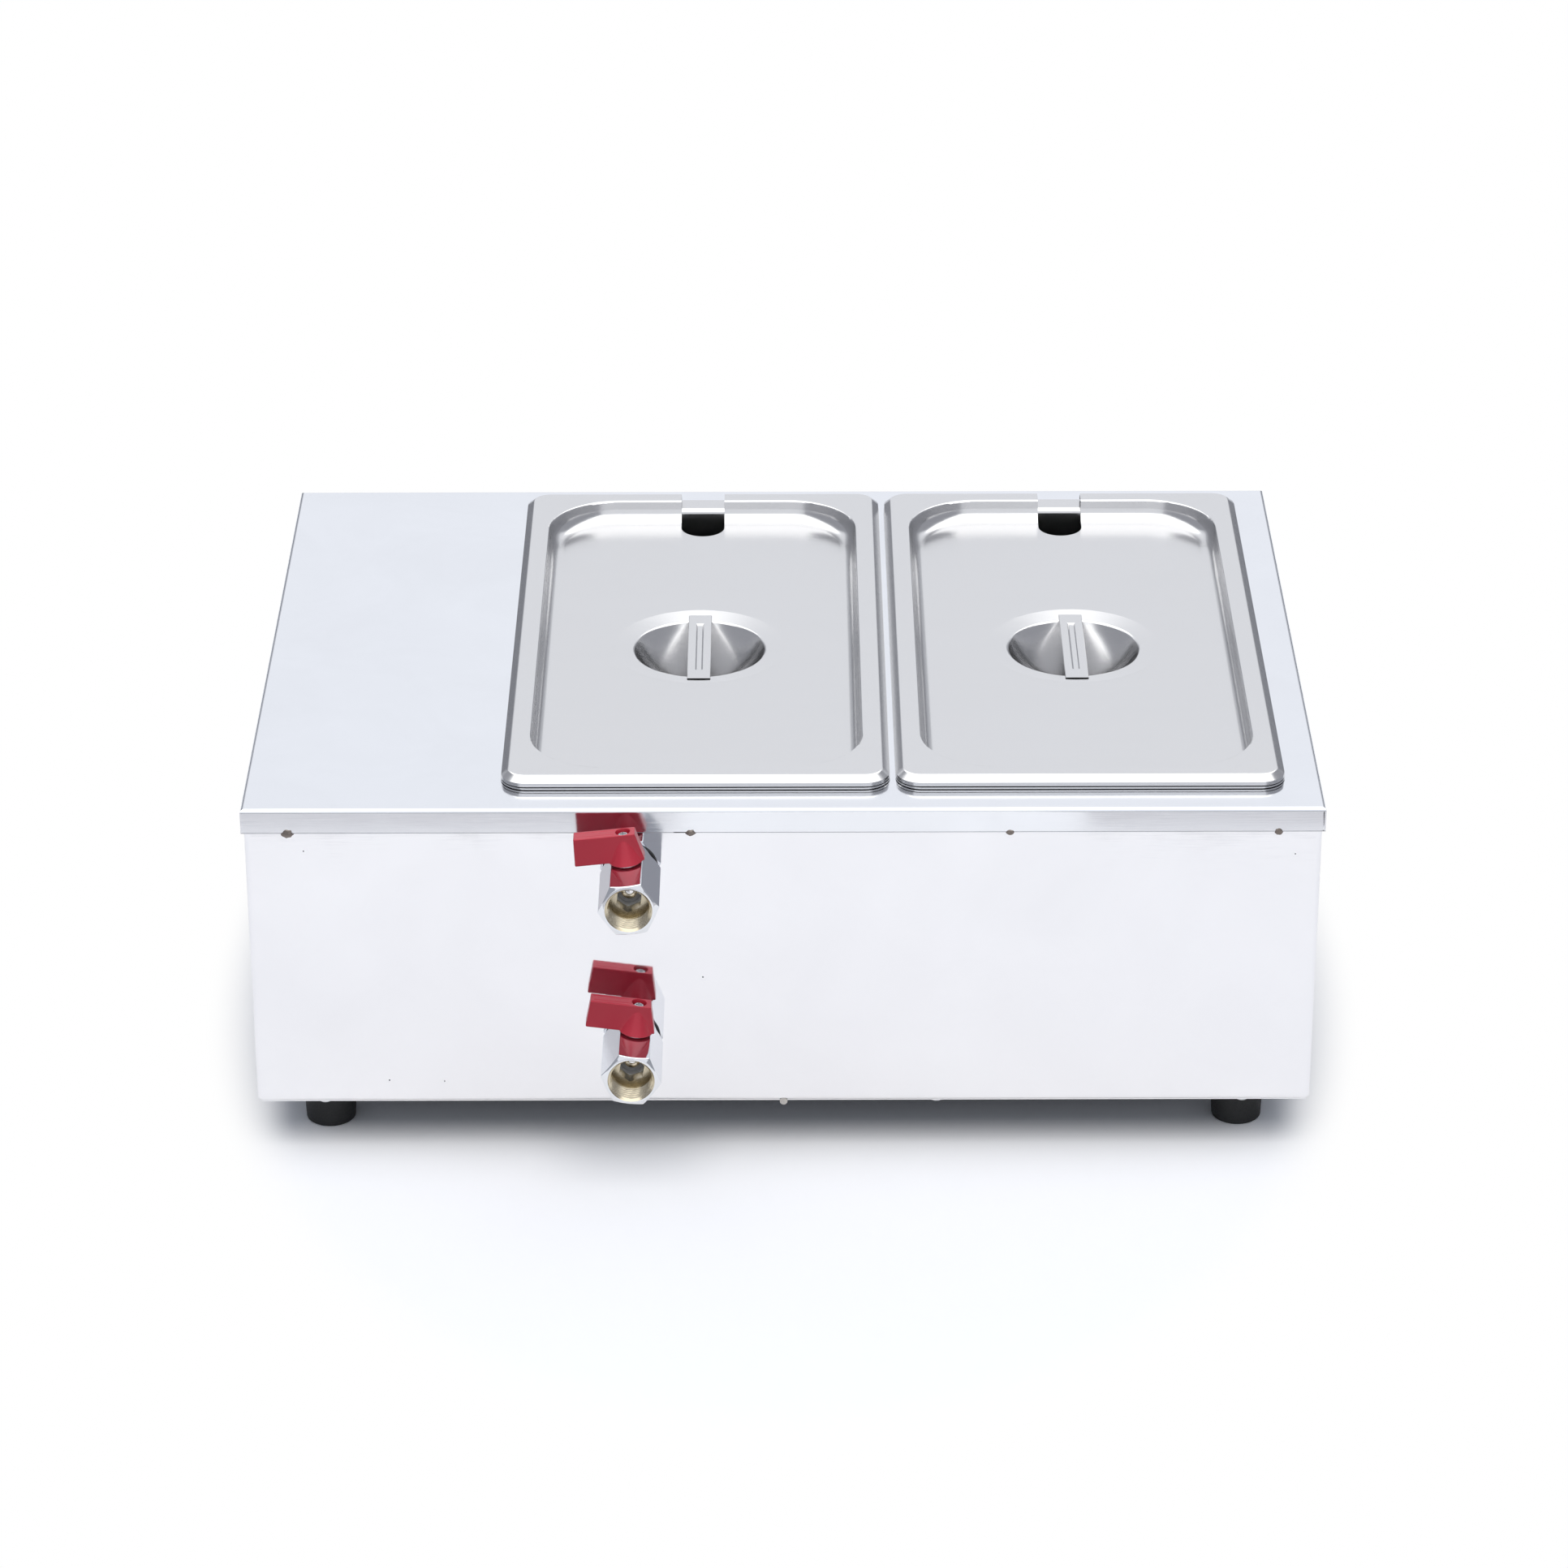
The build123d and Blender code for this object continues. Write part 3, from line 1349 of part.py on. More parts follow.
nodes = {
    "housing_wrap": housing,
    "rear_panel": make_rear_panel(),
    "base_plate": base_plate,
    "top_cover": cover,
    "tack_welds": make_tack_welds([housing, base_plate, cover]),
    "rubber_feet": make_feet(),
    "foot_screws": make_foot_screws(),
    "foot_nuts": make_foot_nuts(),
    "base_screws": make_base_screws(),
    "rear_screws": make_rear_screws(),
    "water_tank": make_tank(),
    "valve_couplings": group(make_coupling(level) for level in valve_levels.values()),
    "valve_gaskets": group(on_valve(make_gasket(), side) for side in valve_levels),
    "ball_retainers": group(on_valve(make_retainer(turn), side) for side, turn in retainer_turns.items()),
    "ball_seats": group(on_valve(make_seat(front), side) for side in valve_levels for front in (True, False)),
    "stem_packings": group(on_valve(make_packing(), side) for side in valve_levels),
    "heating_element": make_heater(),
    "heater_bushings": make_bushings(),
    "heater_washers": make_bushing_washers(),
    "heater_nuts": make_bushing_nuts(),
    "thermostat_body": make_thermostat(),
    "thermostat_screws": make_thermostat_screws(),
    "thermostat_bulb": make_bulb(),
    "bulb_gland": make_bulb_gland(),
    "bulb_bracket": make_bulb_bracket(),
    "thermostat_spindle": spindle_shape(spindle_radius, spindle_start, spindle_end),
    "thermostat_knob": make_knob(),
    "switch_housing": make_switch(),
    "switch_rocker": make_rocker(),
    "lamp_body": make_lamp_body(),
    "lamp_lens": make_lamp_lens(),
    "cable_gland": make_gland(),
    "gland_cap": make_gland_cap(),
    "gland_nut": make_gland_nut(),
    "terminal_block": make_terminal_block(),
    "terminal_screws": make_terminal_screws(),
    "earth_stud": make_earth_stud(),
    "earth_nuts": make_earth_nuts(),
    "live_wires": make_live_wires(),
    "neutral_wires": make_neutral_wires(),
    "earth_wire": make_earth_wire(),
}
for side in valve_levels:
    nodes[side + "_valve_body"] = on_valve(make_valve_body(), side)
    nodes[side + "_ball"] = on_valve(make_ball(), side)
    nodes[side + "_stem"] = on_valve(make_stem(), side)
    nodes[side + "_lever"] = on_valve(make_lever(), side)
    nodes[side + "_lever_screw"] = on_valve(make_lever_screw(), side)
for side, x in pan_places.items():
    nodes[side + "_pan"] = make_pan(x)
    nodes[side + "_lid"] = make_lid(x)
    nodes[side + "_lid_strap"] = make_strap(x)

for name, shape in nodes.items():
    export_step(shape, "parts/" + name + ".step")
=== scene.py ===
"""Looks of a twin-pan chocolate melter: a stainless water bath with two lidded pans and two drain valves.

Metres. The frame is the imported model's own: +X right, -Y the valve side, +Z up, the floor at z = 0.
"""

import logging
import math
from dataclasses import dataclass
from enum import Enum
from typing import Callable, Sequence

import bpy
from mathutils import Matrix, Vector, noise


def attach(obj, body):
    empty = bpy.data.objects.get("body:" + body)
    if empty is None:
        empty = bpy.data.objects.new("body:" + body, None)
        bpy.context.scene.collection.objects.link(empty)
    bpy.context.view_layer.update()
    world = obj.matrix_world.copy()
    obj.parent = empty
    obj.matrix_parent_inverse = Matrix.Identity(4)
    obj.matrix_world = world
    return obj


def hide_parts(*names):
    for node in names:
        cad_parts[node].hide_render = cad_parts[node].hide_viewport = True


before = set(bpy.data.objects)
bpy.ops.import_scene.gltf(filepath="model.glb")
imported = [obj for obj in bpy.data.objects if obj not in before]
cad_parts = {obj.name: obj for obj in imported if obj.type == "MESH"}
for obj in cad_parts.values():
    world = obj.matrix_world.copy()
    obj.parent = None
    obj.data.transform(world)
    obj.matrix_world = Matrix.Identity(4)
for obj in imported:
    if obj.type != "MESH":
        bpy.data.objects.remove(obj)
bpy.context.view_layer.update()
LOG = logging.getLogger("melter")
MM = 0.001

Point = tuple[float, float, float]
Ring = list[Point]
Span = tuple[float, float]
Spot = tuple[float, float]

# Brings a mesh drawn in millimetres to metres
TO_METRES = Matrix.Scale(MM, 4)
# Faces that meet at a smaller angle than this are shaded as one surface
SMOOTH_BELOW = math.radians(34)
# Most of a noise pattern's values lie in this range
NOISE_SPAN: Span = (0.3, 0.7)


def linear(hex_colour: str) -> tuple[float, float, float, float]:
    """Turn an sRGB hex colour into linear values.

    Args:
        hex_colour: six hexadecimal digits after a hash sign.

    Returns:
        Red, green, blue and an alpha of one.
    """
    digits = hex_colour.lstrip("#")
    values = [int(digits[place : place + 2], 16) / 255 for place in (0, 2, 4)]
    red, green, blue = (v / 12.92 if v <= 0.04045 else ((v + 0.055) / 1.055) ** 2.4 for v in values)
    return (red, green, blue, 1.0)


def put_in_scene(name: str, data: bpy.types.ID) -> bpy.types.Object:
    """Make an object of a mesh, camera or lamp and link it to the scene."""
    piece = bpy.data.objects.new(name, data)
    bpy.context.scene.collection.objects.link(piece)
    return piece


def empty_tree(owner: bpy.types.ID) -> bpy.types.NodeTree:
    """Clear the node tree of a new material or world and return it."""
    owner.use_nodes = True
    owner.node_tree.nodes.clear()
    return owner.node_tree


def add_node(
    tree: bpy.types.NodeTree, kind: str, inputs: dict | None = None, **settings: object
) -> bpy.types.Node:
    """Add one node with its settings and links.

    Args:
        tree: the node tree that takes it.
        kind: the node's type name.
        inputs: socket name or number to a value, or to the output socket that feeds it.
        settings: the node's own properties.

    Returns:
        The new node.
    """
    node = tree.nodes.new(kind)
    for name, value in settings.items():
        setattr(node, name, value)
    for name, value in (inputs or {}).items():
        if isinstance(value, bpy.types.NodeSocket):
            tree.links.new(value, node.inputs[name])
        else:
            node.inputs[name].default_value = value
    return node


def output_of(
    tree: bpy.types.NodeTree, kind: str, inputs: dict | None = None, **settings: object
) -> bpy.types.NodeSocket:
    """Add one node as add_node does, and return its first output."""
    return add_node(tree, kind, inputs, **settings).outputs[0]


def ranged(
    tree: bpy.types.NodeTree, value: bpy.types.NodeSocket, source: Span, target: Span, **settings: object
) -> bpy.types.NodeSocket:
    """Map one range of a value to another.

    Args:
        tree: the node tree.
        value: the output to map.
        source: the range that it is taken over.
        target: the range that it is mapped to.
        settings: the mapping node's own properties.

    Returns:
        The mapped output.
    """
    inputs = {"Value": value, "From Min": source[0], "From Max": source[1]}
    inputs |= {"To Min": target[0], "To Max": target[1]}
    return output_of(tree, "ShaderNodeMapRange", inputs, **settings)


def mixed_shader(
    tree: bpy.types.NodeTree,
    share: bpy.types.NodeSocket,
    first: bpy.types.NodeSocket,
    second: bpy.types.NodeSocket,
) -> bpy.types.NodeSocket:
    """Mix two shaders: the first where the share is zero, the second where it is one."""
    return output_of(tree, "ShaderNodeMixShader", {0: share, 1: first, 2: second})


@dataclass(frozen=True)
class Finish:
    """A surface finish. Each kind of finish adds its own pattern to this plain start."""

    name: str
    colour: str
    roughness: float
    metallic: float = 0.0

    def build(self) -> bpy.types.Material:
        """Make the material.

        Returns:
            The finished material.
        """
        material = bpy.data.materials.new(self.name)
        material.use_nodes = True
        tree = material.node_tree
        shader = tree.nodes["Principled BSDF"]
        shader.inputs["Base Color"].default_value = linear(self.colour)
        shader.inputs["Roughness"].default_value = self.roughness
        shader.inputs["Metallic"].default_value = self.metallic
        place = add_node(tree, "ShaderNodeTexCoord").outputs["Object"]
        self.pattern(tree, shader, place)
        return material

    def pattern(
        self, tree: bpy.types.NodeTree, shader: bpy.types.Node, place: bpy.types.NodeSocket
    ) -> None:
        """Add the finish's own pattern to the shader; a plain finish has none."""

    def speckle(
        self,
        tree: bpy.types.NodeTree,
        place: bpy.types.NodeSocket,
        size_mm: float,
        inputs: dict[str, float],
    ) -> bpy.types.NodeSocket:
        """Make a noise pattern.

        Args:
            tree: the node tree.
            place: object coordinates.
            size_mm: the size of its features.
            inputs: its other values, such as how much detail it has.

        Returns:
            The pattern's output.
        """
        scale = 1.0 / (size_mm * MM)
        return output_of(tree, "ShaderNodeTexNoise", {"Vector": place, "Scale": scale, **inputs})

    def relief(
        self,
        tree: bpy.types.NodeTree,
        shader: bpy.types.Node,
        height: bpy.types.NodeSocket,
        depth_mm: float,
    ) -> None:
        """Raise the surface by a pattern.

        Args:
            tree: the node tree.
            shader: the surface shader.
            height: the pattern's output.
            depth_mm: how high it stands where it is one.
        """
        bump = output_of(tree, "ShaderNodeBump", {"Height": height, "Distance": depth_mm * MM})
        tree.links.new(bump, shader.inputs["Normal"])


@dataclass(frozen=True)
class SheetSteel(Finish):
    """Cold-rolled stainless sheet: a faint rolling grain, hand smears, and a slow waviness of the flat."""

    metallic: float = 1.0
    grain_mm: float = 0.35
    grain_stretch: Point = (0.02, 1.0, 1.0)
    smear_mm: float = 55.0
    gloss_span: Span = (0.1, 0.4)
    roughness_spread: float = 0.05
    wave_mm: float = 180.0
    wave_depth_mm: float = 0.2
    tint_depth: float = 0.04

    def pattern(
        self, tree: bpy.types.NodeTree, shader: bpy.types.Node, place: bpy.types.NodeSocket
    ) -> None:
        """Add grain, smears and waviness.

        Args:
            tree: the node tree.
            shader: the surface shader.
            place: object coordinates.
        """
        stretched = output_of(tree, "ShaderNodeMapping", {"Vector": place, "Scale": self.grain_stretch})
        grain = self.speckle(tree, stretched, self.grain_mm, {"Detail": 2.0})
        smear_inputs = {"Detail": 5.0, "Roughness": 0.6, "Distortion": 0.6}
        smear = self.speckle(tree, place, self.smear_mm, smear_inputs)
        wave = self.speckle(tree, place, self.wave_mm, {"Detail": 0.0})
        gloss = output_of(tree, "ShaderNodeMath", {0: grain, 1: smear}, operation="MULTIPLY")
        target = (self.roughness - self.roughness_spread, self.roughness + self.roughness_spread)
        tree.links.new(ranged(tree, gloss, self.gloss_span, target), shader.inputs["Roughness"])
        shade = ranged(tree, smear, NOISE_SPAN, (1.0, 1.0 - self.tint_depth))
        inputs = {"Color": linear(self.colour), "Value": shade}
        tree.links.new(output_of(tree, "ShaderNodeHueSaturation", inputs), shader.inputs["Base Color"])
        self.relief(tree, shader, wave, self.wave_depth_mm)


@dataclass(frozen=True)
class Grained(Finish):
    """A finish with one fine grain, which makes its gloss uneven and its surface a little rough."""

    grain_mm: float = 0.25
    grain_depth_mm: float = 0.004
    grain_detail: float = 2.0
    gloss_share: float = 0.15

    def pattern(
        self, tree: bpy.types.NodeTree, shader: bpy.types.Node, place: bpy.types.NodeSocket
    ) -> None:
        """Add the grain.

        Args:
            tree: the node tree.
            shader: the surface shader.
            place: object coordinates.
        """
        grain = self.speckle(tree, place, self.grain_mm, {"Detail": self.grain_detail})
        target = (self.roughness * (1 - self.gloss_share), self.roughness * (1 + self.gloss_share))
        tree.links.new(ranged(tree, grain, NOISE_SPAN, target), shader.inputs["Roughness"])
        self.relief(tree, shader, grain, self.grain_depth_mm)


@dataclass(frozen=True)
class MouldedPlastic(Grained):
    """Injection-moulded plastic with a fine spark-eroded skin."""


@dataclass(frozen=True)
class MachinedMetal(Grained):
    """Turned or milled metal, bare or plated, with faint tool marks."""

    metallic: float = 1.0
    grain_mm: float = 0.3
    grain_depth_mm: float = 0.002
    grain_detail: float = 3.0
    gloss_share: float = 0.3


# Bright-annealed stainless of the folded casing: almost a mirror, so it shows whatever stands before it
CASING = SheetSteel("bright_annealed_casing", "#F3F3F6", 0.06)
# The same sheet on the cover, duller from handling
COVER = SheetSteel("bright_annealed_cover", "#EFF1F5", 0.12, wave_depth_mm=0.1)
# Deep-drawn stainless of pans and lids: satin, because drawing pulls the surface into a fine peel
DRAWN = SheetSteel(
    "satin_drawn_stainless",
    "#DBDBDC",
    0.2,
    grain_mm=1.5,
    smear_mm=90.0,
    roughness_spread=0.02,
    wave_depth_mm=0.0,
    tint_depth=0.02,
)
# Sheet inside the casing, never polished
TANK_SHEET = SheetSteel("mill_finish_tank", "#B9BABD", 0.35)
# Chrome-plated brass of the valve bodies
PLATED = MachinedMetal("chrome_plated_brass", "#E4E6EA", 0.05)
# Bare brass inside the valves, dulled by its cutting oil
BARE_BRASS = MachinedMetal("pale_cut_brass", "#CDC3AC", 0.24, grain_mm=0.15, grain_depth_mm=0.0004)
# Hard-chromed ball
BALL = MachinedMetal("hard_chrome_ball", "#E8E8EA", 0.08)
# Zinc-plated steel of the fasteners, stems and couplings
ZINC = MachinedMetal("zinc_plated_steel", "#C8CACD", 0.25)
# Tack weld, left as it froze
WELD = MachinedMetal("tack_weld_bead", "#B9B6B2", 0.35, grain_mm=0.5, grain_depth_mm=0.03)
# The beads that show on the front, burnt darker
BURNT_WELD = MachinedMetal("burnt_weld_bead", "#807872", 0.38, grain_mm=0.7, grain_depth_mm=0.06)
# Sheared edge of the cover, never polished; its darker grey is partly painted shade, a painted dark reflection
# of what lies under the edge
SHEARED_EDGE_AND_SHADE = MachinedMetal("sheared_edge_painted_shade", "#A9A9AE", 0.4)
# Painted shadow: a dark bar in the slit of the skirt's lower edge; also the small dark specks on the front
PAINTED_SHADOW_AND_SPECKS = MouldedPlastic("painted_gap_shadow_and_specks", "#2A2A2C", 0.6)
# Steel sheath of the heater, browned by its own heat
HEATED = MachinedMetal("heat_browned_sheath", "#77706A", 0.4)
# Red nylon of the levers
RED = MouldedPlastic("red_moulded_nylon", "#C22A3E", 0.32)
# Black plastic of the knob, the switch and the lamp's body
BLACK = MouldedPlastic("black_moulded_abs", "#161617", 0.38)
# Black nylon of the cable gland
NYLON = MouldedPlastic("black_nylon_gland", "#1B1B1C", 0.45)
# Ivory melamine of the terminals and the thermostat
IVORY = MouldedPlastic("ivory_melamine", "#E6DFC9", 0.4)
# White fluoroplastic of the ball seats and stem packings
FLUOR = MouldedPlastic("white_fluoroplastic", "#EFEFEC", 0.4)
# Black rubber of the feet and gaskets
RUBBER = MouldedPlastic("black_moulded_rubber", "#1A1B1D", 0.6, grain_mm=0.6, grain_depth_mm=0.02)
# Red-brown silicone of the heater's washers
SILICONE = MouldedPlastic("red_brown_silicone", "#9A4A38", 0.5)
# Amber polycarbonate of the lamp's lens
AMBER = MouldedPlastic("amber_lens_polycarbonate", "#D8731A", 0.12)
# Insulation of the live, neutral and earth wires
BROWN_WIRE = MouldedPlastic("brown_cable_pvc", "#5B3522", 0.4)
BLUE_WIRE = MouldedPlastic("blue_cable_pvc", "#2F5FA8", 0.4)
GREEN_WIRE = MouldedPlastic("green_cable_pvc", "#4C9A3C", 0.4)

NODE_FINISHES: dict[Finish, tuple[str, ...]] = {
    CASING: ("housing_wrap", "rear_panel", "base_plate"),
    COVER: ("top_cover",),
    DRAWN: ("left_pan", "right_pan", "left_lid", "right_lid", "left_lid_strap", "right_lid_strap"),
    TANK_SHEET: ("water_tank", "bulb_bracket"),
    PLATED: ("upper_valve_body", "lower_valve_body"),
    BARE_BRASS: ("ball_retainers", "heater_bushings", "heater_nuts", "bulb_gland", "thermostat_bulb"),
    BALL: ("upper_ball", "lower_ball"),
    ZINC: (
        "foot_screws",
        "foot_nuts",
        "base_screws",
        "rear_screws",
        "valve_couplings",
        "upper_stem",
        "lower_stem",
        "upper_lever_screw",
        "lower_lever_screw",
        "thermostat_screws",
        "thermostat_spindle",
        "terminal_screws",
        "earth_stud",
        "earth_nuts",
    ),
    WELD: ("tack_welds",),
    HEATED: ("heating_element",),
    RED: ("upper_lever", "lower_lever"),
    BLACK: ("thermostat_knob", "switch_housing", "switch_rocker", "lamp_body"),
    NYLON: ("cable_gland", "gland_cap", "gland_nut"),
    IVORY: ("terminal_block", "thermostat_body"),
    FLUOR: ("ball_seats", "stem_packings"),
    RUBBER: ("valve_gaskets", "rubber_feet"),
    SILICONE: ("heater_washers",),
    AMBER: ("lamp_lens",),
    BROWN_WIRE: ("live_wires",),
    BLUE_WIRE: ("neutral_wires",),
    GREEN_WIRE: ("earth_wire",),
}


def dress(piece: bpy.types.Object, material: bpy.types.Material) -> None:
    """Give a piece one material, in each slot that it has.

    Args:
        piece: the object to dress.
        material: its material.
    """
    if piece.material_slots:
        for slot in piece.material_slots:
            slot.material = material
    else:
        piece.data.materials.append(material)


def dress_frame() -> dict[Finish, bpy.types.Material]:
    """Give every node of the frame its finish.

    Returns:
        The material made for each finish.
    """
    made = {}
    for finish, names in NODE_FINISHES.items():
        made[finish] = finish.build()
        for name in names:
            dress(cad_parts[name], made[finish])
        LOG.info("%s on %d nodes", finish.name, len(names))
    return made


def add_piece(
    mesh: bpy.types.Mesh,
    body: str,
    finishes: Sequence[bpy.types.Material],
    nodes: Sequence[str] = (),
) -> bpy.types.Object:
    """Put a modelled piece in the scene, on its body.

    Args:
        mesh: its mesh in the frame, which gives the piece its name.
        body: the body that carries it.
        finishes: its materials in slot order.
        nodes: the frame's nodes that it stands for.

    Returns:
        The piece.
    """
    piece = put_in_scene(mesh.name, mesh)
    mesh.shade_smooth()
    mesh.set_sharp_from_angle(angle=SMOOTH_BELOW)
    for material in finishes:
        mesh.materials.append(material)
    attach(piece, body)
    if nodes:
        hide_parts(*nodes)
    LOG.info("%s: %d faces, on %s", mesh.name, len(mesh.polygons), body)
    return piece


def join_rings(
    name: str, rings: Sequence[Ring], closed: bool = False, second: range = range(0)
) -> bpy.types.Mesh:
    """Skin a row of rings that have the same number of points.

    Args:
        name: the mesh's name.
        rings: the rings, in order along the surface.
        closed: whether the last ring joins the first; otherwise a flat face caps each end.
        second: the rows of faces that take the second material.

    Returns:
        The mesh, in the rings' own units.
    """
    count = len(rings[0])
    faces = []
    for row in range(len(rings) if closed else len(rings) - 1):
        here, there = row * count, (row + 1) % len(rings) * count
        for column in range(count):
            after = (column + 1) % count
            faces.append((here + column, here + after, there + after, there + column))
    if not closed:
        last = (len(rings) - 1) * count
        faces += [tuple(reversed(range(count))), tuple(range(last, last + count))]
    mesh = bpy.data.meshes.new(name)
    mesh.from_pydata([point for ring in rings for point in ring], [], faces)
    for row in second:
        for column in range(count):
            mesh.polygons[row * count + column].material_index = 1
    return mesh


def applied(mesh: bpy.types.Mesh, kind: str, **settings: object) -> bpy.types.Mesh:
    """A mesh with one modifier applied to it.

    Args:
        mesh: the mesh to start from.
        kind: the modifier's type.
        settings: the modifier's properties.

    Returns:
        The changed mesh, under the same name.
    """
    holder = put_in_scene(mesh.name, mesh)
    modifier = holder.modifiers.new(kind.lower(), kind)
    for name, value in settings.items():
        setattr(modifier, name, value)
    result = bpy.data.meshes.new_from_object(holder.evaluated_get(bpy.context.evaluated_depsgraph_get()))
    name = mesh.name
    bpy.data.objects.remove(holder)
    mesh.name = name + "_plain"
    result.name = name
    return result


def soft_least(first: float, second: float, reach: float) -> float:
    """The smaller of two lengths, rounded over where they are nearly equal.

    Args:
        first: one length.
        second: the other.
        reach: how near they are where the rounding starts.

    Returns:
        The blended length.
    """
    share = max(reach - abs(first - second), 0.0) / reach
    return min(first, second) - share * share * reach / 4


class Side(Enum):
    """Which of the two drain valves."""

    UPPER = "upper"
    LOWER = "lower"


@dataclass
class DrainValve:
    """Half-inch ball valve, drawn in millimetres about its stem: +Z along the stem and -Y to the outlet."""

    side: Side
    level: float
    lean: float
    x: float = -68.7
    stem_y: float = -185.35

    # Hexagonal body, with the chamfered face at its outlet
    flats: float = 24.0
    half_sector: float = math.radians(30)
    edge_radius: float = 0.6
    edge_blend: float = 0.35
    front: float = -25.0
    rear: float = 15.0
    face_radius: float = 11.4
    face_rounding: tuple[Spot, ...] = ((0.0, 0.25), (0.02, 0.08))
    chamfer: float = 1.4
    chamfer_step: float = 0.1
    chamfer_rows: int = 16
    middle_rows: tuple[float, ...] = (-20.0, -10.0, 0.0, 8.0)
    edge_degrees: tuple[float, ...] = (0.63, 1.26)
    flat_degrees: float = 2.5

    # Threaded outlet, chamber and rear spigot
    mouth_radius: float = 10.6
    mouth_slope: float = 1.1
    crest_radius: float = 9.3155
    root_radius: float = 10.478
    root_fullness: float = 0.8
    pitch: float = 1.814
    thread_rows: int = 88
    run_out: float = 1.2
    chamber_front: float = -14.5
    chamber_radius: float = 8.9155
    chamber_rear: float = 8.9
    port_radius: float = 6.0
    spigot_radius: float = 9.897
    spigot_end: float = 30.8

    # Stem bore and the collar round it
    turned_sides: int = 96
    stem_bore: float = 4.45
    stem_bore_low: float = 6.0
    cutter_core: float = 0.01
    cutter_past: float = 2.0
    packing_bore: float = 5.6
    packing_depth: float = 1.8
    boss_radius: float = 6.3
    boss_height: float = 0.6
    boss_rounding: float = 0.3
    boss_sunk: float = 0.05

    # Lever, and the line moulded along its top
    lever_left: float = 22.1
    lever_top: float = 27.0
    lever_half: float = 3.85
    pocket_radius: float = 3.3
    line_inset: float = 1.1
    line_side_inset: float = 1.9
    line_pocket_gap: float = 0.4
    line_depth: float = 0.16
    line_width: float = 0.22
    sunk_depth: float = 0.03
    sunk_past: float = 0.3
    top_skin: float = 0.25
    voxel: float = 0.2

    def place(self) -> Matrix:
        """Where the stem's frame stands, from millimetres to the object's metres."""
        spot = Matrix.Translation(Vector((self.x, self.stem_y, self.level)) * MM)
        return spot @ Matrix.Rotation(math.radians(self.lean), 4, "Y") @ TO_METRES

    def angles(self) -> list[float]:
        """Angles round the body from +Z, closer together at the hexagon's edges."""
        steps = [*self.edge_degrees, *(step * self.flat_degrees for step in range(1, 12))]
        offsets = [*(-step for step in reversed(steps)), 0.0, *steps, 30.0]
        return [math.radians(60 * sector + 30 + offset) for sector in range(6) for offset in offsets]

    def hexagon(self, angle: float) -> float:
        """Distance from the axis to the rounded hexagon.

        Args:
            angle: the angle from +Z.

        Returns:
            The distance.
        """
        half, part, radius = self.flats / 2, self.half_sector, self.edge_radius
        away = abs((angle - part) % (2 * part))
        away = min(away, 2 * part - away)
        middle = (half - radius) / math.cos(part)
        rounded = math.atan2(radius / 2, middle + radius * math.cos(part))
        if away < rounded:
            return middle * math.cos(away) + math.sqrt(radius**2 - (middle * math.sin(away)) ** 2)
        return half / math.cos(part - away)

    def outside(self, angle: float, y: float) -> float:
        """Distance from the axis to the chamfered hexagon at one place along it.

        Args:
            angle: the angle from +Z.
            y: the place along the axis.

        Returns:
            The distance.
        """
        slope = (self.flats / 2 / math.cos(self.half_sector) - self.face_radius) / self.chamfer
        cone = self.face_radius + slope * min(y - self.front, self.rear - y)
        return soft_least(self.hexagon(angle), cone, self.edge_blend)

    def threaded(self, angle: float, y: float) -> float:
        """Distance from the axis to the outlet's thread, cut as a helix that runs out at both ends.

        Args:
            angle: the angle from +Z.
            y: the place along the axis.

        Returns:
            The distance.
        """
        turn = (y - self.front) / self.pitch - angle / math.tau
        share = (0.5 - 0.5 * math.cos(math.tau * turn)) ** self.root_fullness
        left = max(min((self.chamber_front - y) / self.run_out, 1.0), 0.0)
        radius = self.crest_radius + (self.root_radius - self.crest_radius) * share * left
        return max(radius, self.mouth_radius - self.mouth_slope * (y - self.front))

    def body_mesh(self) -> bpy.types.Mesh:
        """The body as one closed skin, with its stem bore cut.

        Returns:
            The mesh in millimetres; its second material is the bare outlet.
        """
        angles = self.angles()

        def ring(y: float, radius: float | Callable[[float, float], float]) -> Ring:
            """One ring at y, of one radius or of a radius that follows the angle and y."""
            radii = [radius(angle, y) if callable(radius) else radius for angle in angles]
            return [(r * math.sin(angle), y, r * math.cos(angle)) for r, angle in zip(radii, angles)]

        front, rear, face = self.front, self.rear, self.face_radius
        rings = [ring(front, self.mouth_radius)]
        rings += [ring(front + along, face - inset) for along, inset in self.face_rounding]
        sloped = [self.chamfer_step * step for step in range(1, self.chamfer_rows + 1)]
        places = [front + step for step in sloped] + [*self.middle_rows]
        places += [rear - step for step in reversed(sloped)]
        rings += [ring(y, self.outside) for y in places]
        rings += [ring(rear, face), ring(rear, self.spigot_radius)]
        rings += [ring(self.spigot_end, radius) for radius in (self.spigot_radius, self.port_radius)]
        rings += [ring(self.chamber_rear, radius) for radius in (self.port_radius, self.chamber_radius)]
        rings += [ring(self.chamber_front, self.chamber_radius)]
        bare = len(rings) - 1
        step = (self.chamber_front - front) / self.thread_rows
        rings += [ring(self.chamber_front - step * row, self.threaded) for row in range(self.thread_rows)]
        mesh = join_rings(f"{self.side.value}_valve_casting", rings, True, range(bare, len(rings)))
        cutter = put_in_scene("stem_cutter", self.stem_cutter())
        mesh = applied(mesh, "BOOLEAN", object=cutter, operation="DIFFERENCE", solver="EXACT")
        bpy.data.objects.remove(cutter)
        return mesh

    def turned(self, name: str, profile: Sequence[Spot]) -> bpy.types.Mesh:
        """A closed turned shape about the stem.

        Args:
            name: the mesh's name.
            profile: radius and height at each corner, in order round the section.

        Returns:
            The mesh in millimetres.
        """
        angles = [math.tau * step / self.turned_sides for step in range(self.turned_sides)]
        rings = [[(r * math.cos(a), r * math.sin(a), z) for a in angles] for r, z in profile]
        return join_rings(name, rings, True)

